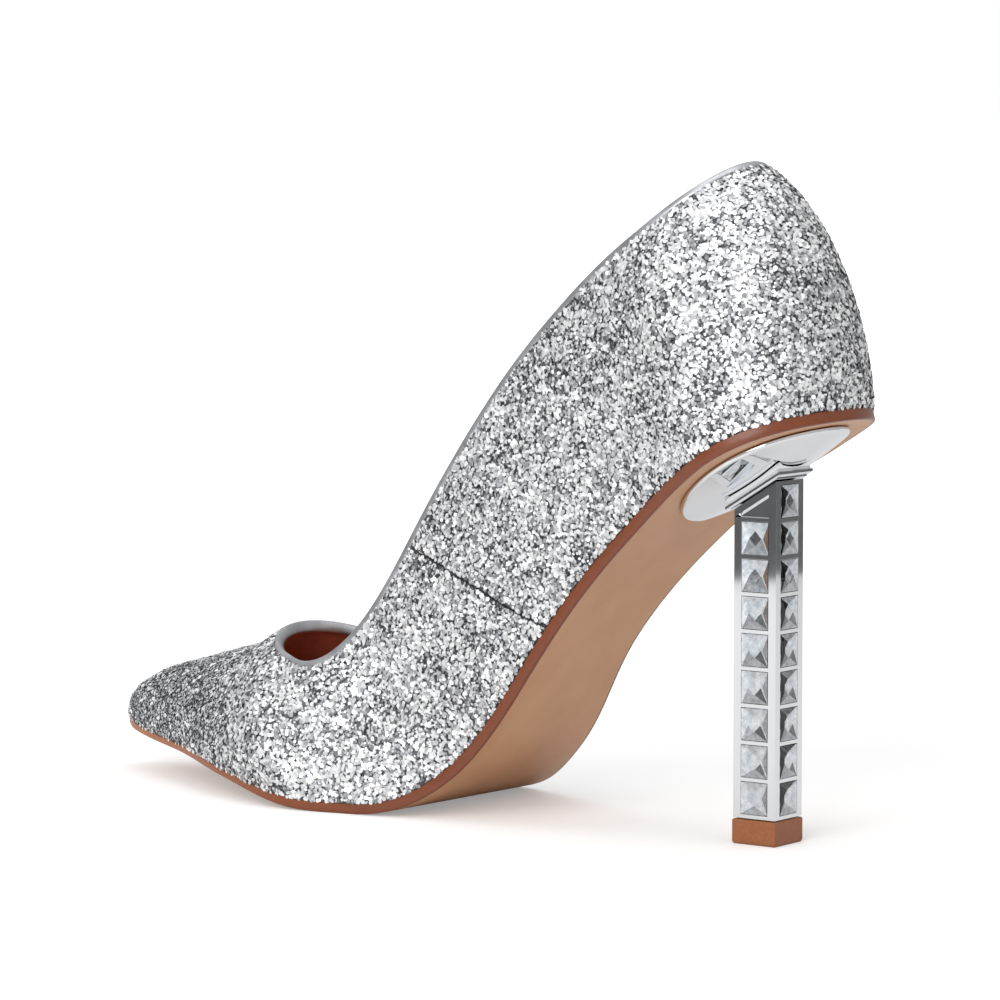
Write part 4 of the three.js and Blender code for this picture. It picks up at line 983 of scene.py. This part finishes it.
@dataclass
class Upper(Assembly):
    """The glitter cloth: a vamp and a quarter, each a thin shell with flakes stuck all over it."""

    thickness: float = 1.2
    edge_drop: float = 1.95
    lasting_margin: float = 10.0
    margin_share: float = 0.45
    skin_lift: float = 0.03
    seam_gap: float = 0.3
    seam_fold: float = 0.35
    flake_radius: float = 0.6
    flake_spacing: float = 0.4
    flake_density: float = 3.3
    flake_tilt_degrees: float = 21.0
    flake_lift: float = 0.3
    fine_start: float = 196.0
    fine_end: float = 226.0

    def build(self) -> None:
        """Builds both shells and their flakes."""
        rises = steps(0, 1, 30)
        vamp = self.last.vamp_stations(self.edge_drop, 46, 30)
        quarter = self.last.quarter_stations(self.seam_gap, self.edge_drop, 36, 22)
        self.shell("vamp_cloth", vamp, rises, "vamp")
        self.shell("quarter_cloth", quarter, rises, "quarter")
        tool = flake_tool()
        self.flakes(tool, "vamp_flakes", vamp, rises, 11)
        self.flakes(tool, "quarter_flakes", quarter, rises, 29)

    def margin(self, station: Station, reach: float, inset: float) -> Vector:
        """A point of the turned-in margin, which the outsole and the board hide."""
        last = self.last
        if station.turn is not None:
            _, y, along, radius = last.heel_place(station.side, station.turn)
            width = min(self.lasting_margin, self.margin_share * radius) - inset
            left = 1 - (inset + reach * width) / radius
            return last.point(last.heel_round - along * left, station.side.value * y * left, inset)
        width = last.half_width(station.side, station.foot, inset)
        margin = min(self.lasting_margin - inset, self.margin_share * width)
        return last.point(station.foot, station.side.value * (width - reach * margin), inset)

    def rows(self, stations: list[Station], rises: list[float], inset: float) -> Grid:
        """A layer of the cloth as rows of points, from the margin's inner edge to the cut edge."""
        return [
            [self.margin(station, 1, inset), self.margin(station, 0.5, inset)]
            + [self.last.wall(station, rise, inset, inset) for rise in rises]
            for station in stations
        ]

    def shell(self, name: str, stations: list[Station], rises: list[float], node: str) -> None:
        """Builds one shell of cloth."""
        bm = skin_between(self.rows(stations, rises, 0), self.rows(stations, rises, self.thickness))
        self.place(finish_mesh(bm, name, 50), node, slot=f"{node}_glitter", dress=["ground"])

    def flakes(
        self, tool: GeometryTool, name: str, stations: list[Station], rises: list[float], seed: int
    ) -> None:
        """Scatters flakes over a shell's outer skin, which stops short of the folded seam."""
        bm = bmesh.new()
        layer = bm.verts.layers.float.new("fine")
        rows = []
        for i, station in enumerate(stations):
            row = []
            inner = {0: stations[1], len(stations) - 1: stations[-2]}.get(i)
            for rise in rises:
                place = self.last.wall(station, rise, -self.skin_lift)
                if inner:
                    inward = self.last.wall(inner, rise, -self.skin_lift) - place
                    place += inward.normalized() * self.seam_fold
                vert = bm.verts.new(place)
                along = mix(station.foot, station.head, rise)
                vert[layer] = smooth_step(self.fine_start, self.fine_end, along)
                row.append(vert)
            rows.append(row)
        for lower, upper in zip(rows, rows[1:]):
            for j in range(len(lower) - 1):
                bm.faces.new((lower[j], upper[j], upper[j + 1], lower[j + 1]))
        emitter = finish_mesh(bm, name + "_skin", 180, closed=False)
        self.face_outwards(emitter.data)
        values = {
            "Spacing": self.flake_spacing * MM,
            "Density": self.flake_density / MM**2,
            "Radius": self.flake_radius * MM,
            "Tilt": math.radians(self.flake_tilt_degrees),
            "Lift": self.flake_lift * MM,
            "Seed": seed,
            "Material": self.shop.get("flake"),
        }
        self.place(tool.run(emitter, name, values), slot=name.replace("_flakes", "_glitter"))

    @staticmethod
    def face_outwards(mesh: bpy.types.Mesh) -> None:
        """Flips an open skin unless most of it looks away from the shoe's middle."""
        if sum(math.copysign(face.area, face.normal.y * face.center.y) for face in mesh.polygons) < 0:
            mesh.flip_normals()


@dataclass
class Binding(Assembly):
    """A strip of silver leather folded over the whole edge of the opening."""

    width: float = 1.9
    proud: float = 0.25
    wall: float = 2.45
    fold_start: float = 0.58
    fold_height: float = 0.42

    def build(self) -> None:
        """Sweeps the folded section round the topline."""
        rings = []
        last = self.last
        for side in Side:
            half = [self.ring(side, head_share=share) for share in steps(0, 1, 54, lambda t: t * t)]
            half += [self.ring(side, s=s) for s in steps(last.seam_head, last.heel_round, 40)[1:]]
            half += [self.ring(side, turn=turn) for turn in steps(QUARTER, 0, 26)[1:]]
            rings += half if side is Side.OUTER else half[1:-1][::-1]
        obj = finish_mesh(loft(rings, True), "topline_strip", 60)
        self.place(obj, "topline_binding", slot="binding_metallic", dress=["binding"])

    def section(self) -> list[tuple[float, float]]:
        """The strip's closed section as (height share, inset) pairs: two flat faces and a round fold."""
        deep = self.wall + self.proud
        middle, half = (deep - self.proud) / 2, (deep + self.proud) / 2
        fold = [
            (self.fold_start + self.fold_height * math.sin(a), middle - half * math.cos(a))
            for a in steps(0, math.pi, 12)
        ]
        outer = [(0.0, -self.proud * 0.35), (0.06, -self.proud * 0.8), (0.3, -self.proud * 1.05)]
        inner = [(share, 2 * middle - inset) for share, inset in reversed(outer)]
        return [*outer, *fold, *inner]

    def ring(
        self, side: Side, head_share: float = 0.0, s: float | None = None, turn: float | None = None
    ) -> list[Vector]:
        """The section's points at one place of the topline.

        Args:
            side: the shoe's side.
            head_share: how far from the throat to the seam the place is, unless s or turn says it.
            s: the place along the sole.
            turn: the place round the heel.

        Returns:
            The ring's points.
        """
        last = self.last
        points = []
        for share, inset in self.section():
            drop = self.width * (1 - share)
            edge = last.topline(side, drop)
            if turn is not None:
                at = last.heel_place(side, turn)[0]
                points.append(last.heel_wall(side, turn, 1, last.edge_angle(at, drop, edge), inset, 0))
                continue
            at = s if s is not None else mix(last.throat + drop, last.seam_head, head_share)
            points.append(last.side_wall(side, at, 1, last.edge_angle(at, drop, edge), inset, 0))
        return points


@dataclass
class Inside(Assembly):
    """What the foot touches: two linings, the sock lining and the heel pad under it."""

    lining_inset: float = 1.65
    stiffener_step: float = 1.1
    lining_thickness: float = 0.8
    floor: float = 3.8
    edge_drop: float = 1.95
    seam_gap: float = 0.15
    puff_start: float = 212.0
    counter_end: float = 74.2
    counter_rise: float = 0.72
    counter_blend: tuple[float, float] = (0.02, 0.18)
    fade: float = 12.0
    sock_inset: float = 4.0
    sock_thickness: float = 0.7
    sock_lift: float = 0.7
    edge_start: float = 0.93
    edge_round: float = 0.45
    pad_edge: float = 0.25
    pad_share: float = 4 / 6
    pad_thickness: float = 1.9
    pad_start: float = 7.0
    pad_end: float = 60.0

    def build(self) -> None:
        """Builds the soft pieces of the inside."""
        vamp = self.last.vamp_stations(self.edge_drop, 40, 22)
        quarter = self.last.quarter_stations(self.seam_gap, self.edge_drop, 30, 18)
        self.lining("vamp_lining_leather", vamp, "vamp_lining")
        self.lining("quarter_lining_leather", quarter, "quarter_lining")
        self.sock()
        self.pad()

    def room(self, station: Station, rise: float) -> float:
        """How much of its step inwards the lining takes, to make room for the stiffeners."""
        if station.foot > self.last.seam_foot:
            return smooth_step(self.puff_start - self.fade, self.puff_start, station.foot)
        along = 1 - smooth_step(self.counter_end, self.counter_end + self.fade, station.foot)
        start, end = (self.counter_rise + blend for blend in self.counter_blend)
        return along * (1 - smooth_step(start, end, rise))

    def lining(self, name: str, stations: list[Station], node: str) -> None:
        """Builds one lining. Near the tip of the toe it ends early, as the real one does."""
        rises = steps(0, 1, 24)
        end = self.last.toe_end(self.lining_inset + self.stiffener_step + self.lining_thickness)

        def rows(extra: float) -> Grid:
            """A face of the lining, at an extra inset."""
            grid = []
            for station in stations:
                place = replace(station, foot=min(station.foot, end), head=min(station.head, end))
                row = []
                for rise in rises:
                    inset = self.lining_inset + extra + self.stiffener_step * self.room(station, rise)
                    row.append(self.last.wall(place, rise, inset, self.floor))
                grid.append(row)
            return grid

        bm = skin_between(rows(0), rows(self.lining_thickness))
        self.place(finish_mesh(bm, name, 50), node, slot="lining_brown", dress=["lining"])

    def swell(self, s: float, share: float) -> float:
        """The heel pad's swelling: full in its middle and nothing at its edges."""
        across = clamp(abs(share) / self.pad_share)
        fade = (self.pad_end - self.pad_start) / 3
        along = smooth_step(self.pad_start, self.pad_start + fade, s)
        along *= 1 - smooth_step(self.pad_end - fade, self.pad_end, s)
        return self.pad_thickness * along * (1 - across * across) ** 2

    def rows(self, stations: list[float], share: float, height: Callable[[float, float], float]) -> Grid:
        """A face of a sheet that lies on the sole.

        Args:
            stations: its places along the sole.
            share: its half widths as a share of the sole's.
            height: its height from the place along the sole and the share across.

        Returns:
            Its points, row by row.
        """
        grid = []
        for s in stations:
            row = []
            for across in steps(-1, 1, 24):
                side = Side.INNER if across < 0 else Side.OUTER
                y = across * share * self.last.half_width(side, s, self.sock_inset)
                row.append(self.last.point(s, y, height(s, across * share)))
            grid.append(row)
        return grid

    def sock(self) -> None:
        """Builds the sock lining, which follows the pad under it. Its cut edge is slightly rounded."""
        stations = self.last.sheet_stations(self.sock_inset)

        def bottom(s: float, share: float) -> float:
            """The height of the sheet's underside."""
            return self.floor + self.sock_lift + self.swell(s, share)

        def top(s: float, share: float) -> float:
            """The height of its upper side."""
            lost = self.edge_round * smooth_step(self.edge_start, 1.0, abs(share))
            return bottom(s, share) + self.sock_thickness * (1 - lost)

        bm = skin_between(self.rows(stations, 1, bottom), self.rows(stations, 1, top))
        self.place(finish_mesh(bm, "sock_leather", 50), "sock_lining", slot="lining_brown", dress=["sock"])

    def pad(self) -> None:
        """Builds the foam pad under the sock lining."""
        stations = [s for s in self.last.sheet_stations(self.sock_inset) if self.pad_start < s < self.pad_end]
        rim = self.floor + self.pad_edge
        bottom = self.rows(stations, self.pad_share, lambda s, share: self.floor)
        top = self.rows(stations, self.pad_share, lambda s, share: rim + self.swell(s, share))
        obj = finish_mesh(skin_between(bottom, top), "heel_pad_foam", 50)
        self.place(obj, "heel_pad", slot="foam", dress=["foam"])


@dataclass
class Outsole(Assembly):
    """The outsole: a nude sheet whose trimmed edge is painted brown."""

    top_gap: float = 0.08
    round_top: float = 0.15
    round_bottom: float = 0.5
    paint_wrap: float = 0.45
    columns: int = 22

    def build(self) -> None:
        """Lofts the outsole's section from the back of the heel to the toe."""
        rings = []
        sections = self.section()
        places = [self.last.sheet_stations(inset) for _, inset, _ in sections]
        for i in range(len(places[0])):
            ring = []
            for (share, inset, depth), stations in zip(sections, places):
                s = stations[i]
                side = Side.INNER if share < 0 else Side.OUTER
                thick = self.last.outsole(s)
                y = share * self.last.half_width(side, s, inset)
                ring.append(self.last.point(s, y, -depth(thick)))
            rings.append(ring)
        bm = loft(rings, False)
        painted = self.painted_columns()
        for index, face in enumerate(bm.faces):
            face.material_index = 1 if index % len(sections) in painted else 0
        self.place(finish_mesh(bm, "outsole_sheet", 42), "outsole", slot="outsole", dress=["sole", "edge"])

    def edge(self) -> list[tuple[float, Curve]]:
        """The trimmed edge as (inset, depth) pairs, from the top face down to the underside."""
        return [
            (self.round_top, lambda t: self.top_gap),
            (0.0, lambda t: self.top_gap + self.round_top),
            (0.0, lambda t: t * 0.5),
            (0.02, lambda t: t - self.round_bottom),
            (self.round_bottom * 0.3, lambda t: t - self.round_bottom * 0.3),
            (self.round_bottom, lambda t: t),
            (self.round_bottom + self.paint_wrap, lambda t: t),
        ]

    def section(self) -> list[tuple[float, float, Curve]]:
        """The closed section as (share across, inset, depth) of each column."""
        edge = self.edge()
        right = [(1.0, inset, depth) for inset, depth in edge]
        left = [(-1.0, inset, depth) for inset, depth in reversed(edge)]
        shares = steps(1, -1, self.columns)[1:-1]
        bottom = [(share, edge[-1][0], edge[-1][1]) for share in shares]
        top = [(share, self.round_top, edge[0][1]) for share in reversed(steps(1, -1, 8)[1:-1])]
        return [*right, *bottom, *left, *top]

    def painted_columns(self) -> set[int]:
        """The columns of faces that the edge paint covers."""
        count = len(self.edge())
        start = count + self.columns - 1
        return set(range(count - 1)) | set(range(start, start + count - 1))


@dataclass
class HeelPlate(Assembly):
    """The domed oval plate that the heel hangs from."""

    centre: float = 29.0
    half_length: float = 23.4
    half_width: float = 19.6
    rim: float = 0.9
    dome: float = 3.7
    gap: float = 0.3

    def build(self) -> None:
        """Lofts rings from the middle of the dome over the rounded rim to the flat top.

        The profile's points are shares of the plate's radius and depths below its flat top.
        """
        profile = [(share, self.rim + self.dome * (1 - share * share)) for share in steps(0.02, 0.97, 20)]
        profile += [(0.988, self.rim + 0.08), (0.997, self.rim * 0.85), (1.0, self.rim * 0.6)]
        profile += [(1.0, 0.08), (0.995, 0.0), (0.8, 0.0), (0.5, 0.0), (0.25, 0.0), (0.02, 0.0)]
        turns = steps(0, math.tau, 72)[:-1]
        rings = [[self.point(share, turn, depth) for turn in turns] for share, depth in profile]
        bm = loft(rings, False)
        bm.verts.ensure_lookup_table()
        count = len(rings[0])
        bm.faces.new(bm.verts[:count])
        bm.faces.new(bm.verts[-count:])
        self.place(finish_mesh(bm, "domed_heel_plate", 40), "heel_plate", slot="chrome", dress=["chrome"])

    def point(self, share: float, turn: float, depth: float) -> Vector:
        """A point of the plate, at a share of its radius and a depth below the outsole."""
        s = self.centre + self.half_length * share * math.cos(turn)
        y = self.half_width * share * math.sin(turn)
        return self.last.point(s, y, -(self.last.outsole(s) + self.gap + depth))


@dataclass
class Heel(Assembly):
    """The square heel: capital, windowed column, crystals and top-lift."""

    yaw_degrees: float = 2.3
    window: float = 7.4
    frame_lip: float = 0.15
    stone_reach: float = 5.75
    clearance: float = 0.13
    crown: float = 0.25
    table: float = 0.5
    girdle: float = 0.06
    girdle_height: float = 0.2
    culet: float = -0.31
    culet_share: float = 0.46

    def build(self) -> None:
        """Builds the metal pieces, the top-lift and the crystals.

        Each row is a CAD node, its piece, its roundings' width, how high they reach, and its slot.
        """
        for node, name, width, below, slot in (
            ("heel_capital", "stepped_capital", 0.12, math.inf, "chrome"),
            ("heel_column", "windowed_column", 0.05, 76.0, "chrome"),
            ("heel_tip", "top_lift", 0.15, math.inf, "top_lift"),
        ):
            self.place(softened_copy(node, name, width, below), node, slot=slot, dress=[slot])
        self.crystals()

    def crystals(self) -> None:
        """Sets the cut stones into their windows."""
        yaw = math.radians(self.yaw_degrees)
        nodes = sorted(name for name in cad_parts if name.startswith("crystal_"))
        turns = {"back": math.pi, "outer": QUARTER, "front": 0.0, "inner": -QUARTER}
        bm = bmesh.new()
        layer = bm.verts.layers.float.new("turn")
        heights = []
        for node in nodes:
            low, high = (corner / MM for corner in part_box(node))
            heights.append(high.z - low.z)
            turn = turns[node.split("_")[1]] + yaw
            centre = (low + high) / 2
            x, y = self.stone_reach * math.cos(turn), self.stone_reach * math.sin(turn)
            vert = bm.verts.new((x, y, centre.z))
            vert[layer] = turn
        places = finish_mesh(bm, "stone_places", 180, closed=False)
        template = self.stone(sum(heights) / len(heights) / 2)
        values = {"Template": template, "Material": self.shop.get("glass"), "Backing": self.shop.get("foil")}
        obj = setting_tool().run(places, "square_crystals", values)
        bpy.data.objects.remove(template)
        self.place(obj, *nodes, slot="crystal")

    def stone(self, half_height: float) -> Object:
        """One square-cut stone facing +X: its table and its foiled culet are squares turned by an eighth."""
        half_y = self.window / 2 - self.clearance
        half_z = half_height + self.frame_lip - self.clearance

        def ring(x: float, share: float, corners: Sequence[tuple[float, float]]) -> list[Vector]:
            """The corners of one outline of the stone."""
            return [Vector((x, y * half_y * share, z * half_z * share)) for y, z in corners]

        square = [(1, 1), (-1, 1), (-1, -1), (1, -1)]
        diamond = [(1, 0), (0, 1), (-1, 0), (0, -1)]
        crown = ring(self.crown, self.table, diamond) + ring(self.girdle, 1, square)
        low = self.girdle - self.girdle_height
        pavilion = ring(low, 1, square) + ring(self.culet, self.culet_share, diamond)
        bm = bmesh.new()
        for point in crown + pavilion:
            bm.verts.new(point)
        bmesh.ops.convex_hull(bm, input=bm.verts)
        bmesh.ops.dissolve_limit(bm, angle_limit=math.radians(1), verts=bm.verts, edges=bm.edges)
        layer = bm.faces.layers.bool.new("backing")
        for face in bm.faces:
            face[layer] = face.calc_center_median().x < low - 0.01
        obj = finish_mesh(bm, "stone_template", 5)
        for face in obj.data.polygons:
            face.use_smooth = False
        return obj


@dataclass
class Hidden(Assembly):
    """Sealed pieces that stay as they are in CAD, each in its own real finish."""

    finishes: tuple[tuple[str, str], ...] = (
        ("toe_puff", "stiffener"),
        ("heel_counter", "stiffener"),
        ("insole_board", "board"),
        ("bottom_filler", "felt"),
        ("shank", "steel"),
        ("heel_", "steel"),
    )

    def build(self) -> None:
        """Gives every CAD node that is still shown its finish."""
        for name, obj in sorted(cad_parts.items()):
            if obj.hide_render:
                continue
            key = next(finish for start, finish in self.finishes if name.startswith(start))
            self.shop.dress(obj, key)
            log.info("%-22s kept from CAD, in %s", name, key)


# ---- Studio --------------------------------------------------------------------------------------


@dataclass
class Studio:
    """The camera, the lights and the pale floor."""

    target: tuple[float, float, float] = (0.0774, 0.0, 0.0725)
    azimuth: float = 218.67
    elevation: float = 5.14
    distance: float = 1.098
    lens: float = 163.5
    shift: tuple[float, float] = (-0.0074, 0.0132)
    floor_glow: float = 0.29
    far_glow: float = 1.0
    floor_return: float = 0.0
    floor_reach: float = 40.0
    sky: float = 0.62

    def build(self) -> None:
        """Builds everything that isn't part of the object."""
        self.camera()
        self.world()
        far = self.floor_reach
        self.sheet("floor", [(-far, -far, 0), (far, -far, 0), (far, far, 0), (-far, far, 0)], self.paper)
        for name, place, size, watts in (
            ("key", (-0.2, 1.3, 0.75), 1.0, 12.5),
            ("overhead", (0.05, 0.1, 1.4), 0.7, 3.0),
        ):
            self.light(name, place, size, watts)
        for name, place in (("toe_card", (0.365, 0.45, 0.033)), ("heel_card", (-0.365, -0.45, 0.033))):
            self.card(name, place, (0.3, 0.062))

    def camera(self) -> None:
        """A long lens, level, with the object as large in the picture as it should be."""
        data = bpy.data.cameras.new("camera")
        data.lens, data.sensor_width = self.lens, 36
        data.shift_x, data.shift_y = self.shift
        data.clip_start, data.clip_end = 0.05, 60
        a, e = math.radians(self.azimuth), math.radians(self.elevation)
        away = Vector((math.sin(a) * math.cos(e), -math.cos(a) * math.cos(e), math.sin(e)))
        obj = put("camera", data)
        obj.location = Vector(self.target) + away * self.distance
        obj.rotation_euler = away.to_track_quat("Z", "Y").to_euler()
        bpy.context.scene.camera = obj

    def sheet(self, name: str, corners: list[Any], draw: Callable[[Tree, Any], Inputs]) -> None:
        """One flat stage sheet in its own material."""
        mesh = bpy.data.meshes.new(name)
        mesh.from_pydata(corners, [], [(0, 1, 2, 3)])
        mesh.materials.append(new_material(name, draw))
        put(name, mesh)

    def paper(self, tree: Tree, place: Any) -> Inputs:
        """White paper, lit from below as well, so that it stays white up to a light contact shadow."""
        grain = add(tree, "ShaderNodeTexNoise", {"Vector": place, "Scale": per_metre(40), "Detail": 2.0})
        shade = add(tree, "ShaderNodeValToRGB", {"Fac": grain}, ((0.3, "#e2e2e2"), (0.7, "#e4e4e4")))
        reach = add(tree, "ShaderNodeVectorMath", {"Vector": place}, operation="LENGTH")
        ends = {"From Min": 0.3, "From Max": 1.6, "To Min": self.floor_glow, "To Max": self.far_glow}
        graded = add(tree, "ShaderNodeMapRange", {"Value": reach, **ends})
        seen = add(tree, "ShaderNodeLightPath")
        glow = add(tree, "ShaderNodeMix", {"Factor": seen, "A": self.floor_return, "B": graded})
        light = {"Emission Color": (1, 1, 1, 1), "Emission Strength": glow}
        return {"Base Color": shade, "Roughness": 0.8, **light}

    @staticmethod
    def felt(tree: Tree, place: Any) -> Inputs:
        """Grey felt that only mirrored and refracted light meets."""
        grain = add(tree, "ShaderNodeTexNoise", {"Vector": place, "Scale": per_metre(3), "Detail": 2.0})
        shade = add(tree, "ShaderNodeValToRGB", {"Fac": grain}, ((0.3, "#5c5c5c"), (0.7, "#6c6c6c")))
        path = add(tree, "ShaderNodeLightPath")
        kinds = {"Value": (path, "Is Glossy Ray"), "Value#1": (path, "Is Transmission Ray")}
        solid = add(tree, "ShaderNodeMath", kinds, operation="MAXIMUM")
        return {"Base Color": shade, "Roughness": 0.9, "Alpha": solid}

    def card(self, name: str, centre: tuple[float, float, float], size: tuple[float, float]) -> None:
        """A dark card that faces the object, and gives polished metal and glass their dark lines.

        It's never in a view and casts no shadow.
        """
        middle = Vector(centre)
        facing = (Vector(self.target) - middle).normalized()
        across = facing.cross(Vector((0, 0, 1))).normalized() * (size[0] / 2)
        upward = across.cross(facing).normalized() * (size[1] / 2)
        ways = ((-1, -1), (1, -1), (1, 1), (-1, 1))
        self.sheet(name, [tuple(middle + x * across + z * upward) for x, z in ways], self.felt)

    def world(self) -> None:
        """A white backdrop for the camera, and a dimmer, graded surround for the light."""
        world = bpy.data.worlds.new("studio")
        bpy.context.scene.world = world
        bpy.context.scene.view_settings.view_transform = "Standard"
        world.use_nodes = True
        tree = world.node_tree
        tree.nodes.clear()
        place = add(tree, "ShaderNodeTexCoord")
        parts = add(tree, "ShaderNodeSeparateXYZ", {"Vector": (place, "Generated")})
        ends = {"From Min": 0.0, "To Min": 0.62, "To Max": 1.5}
        graded = add(tree, "ShaderNodeMapRange", {"Value": (parts, "Z"), **ends})
        around = add(tree, "ShaderNodeMath", {"Value": graded, "Value#1": self.sky}, operation="MULTIPLY")
        seen = add(tree, "ShaderNodeLightPath")
        strength = add(tree, "ShaderNodeMix", {"Factor": seen, "A": around, "B": 1.0})
        sky = add(tree, "ShaderNodeBackground", {"Color": (1, 1, 1, 1), "Strength": strength})
        add(tree, "ShaderNodeOutputWorld", {"Surface": sky})

    def light(self, name: str, place: tuple[float, float, float], size: float, watts: float) -> None:
        """A white soft box that looks at the object."""
        data = bpy.data.lights.new(name, "AREA")
        data.shape, data.size, data.energy = "SQUARE", size, watts
        obj = put(name, data)
        obj.location = place
        obj.rotation_euler = (Vector(place) - Vector(self.target)).to_track_quat("Z", "Y").to_euler()


def main() -> None:
    """Builds the pump and its studio."""
    last = Last()
    shop = FinishShop()
    for kind in (Upper, Binding, Inside, Outsole, HeelPlate, Heel, Hidden):
        kind(last, shop).build()
    Studio().build()


if __name__ == "__main__":
    main()
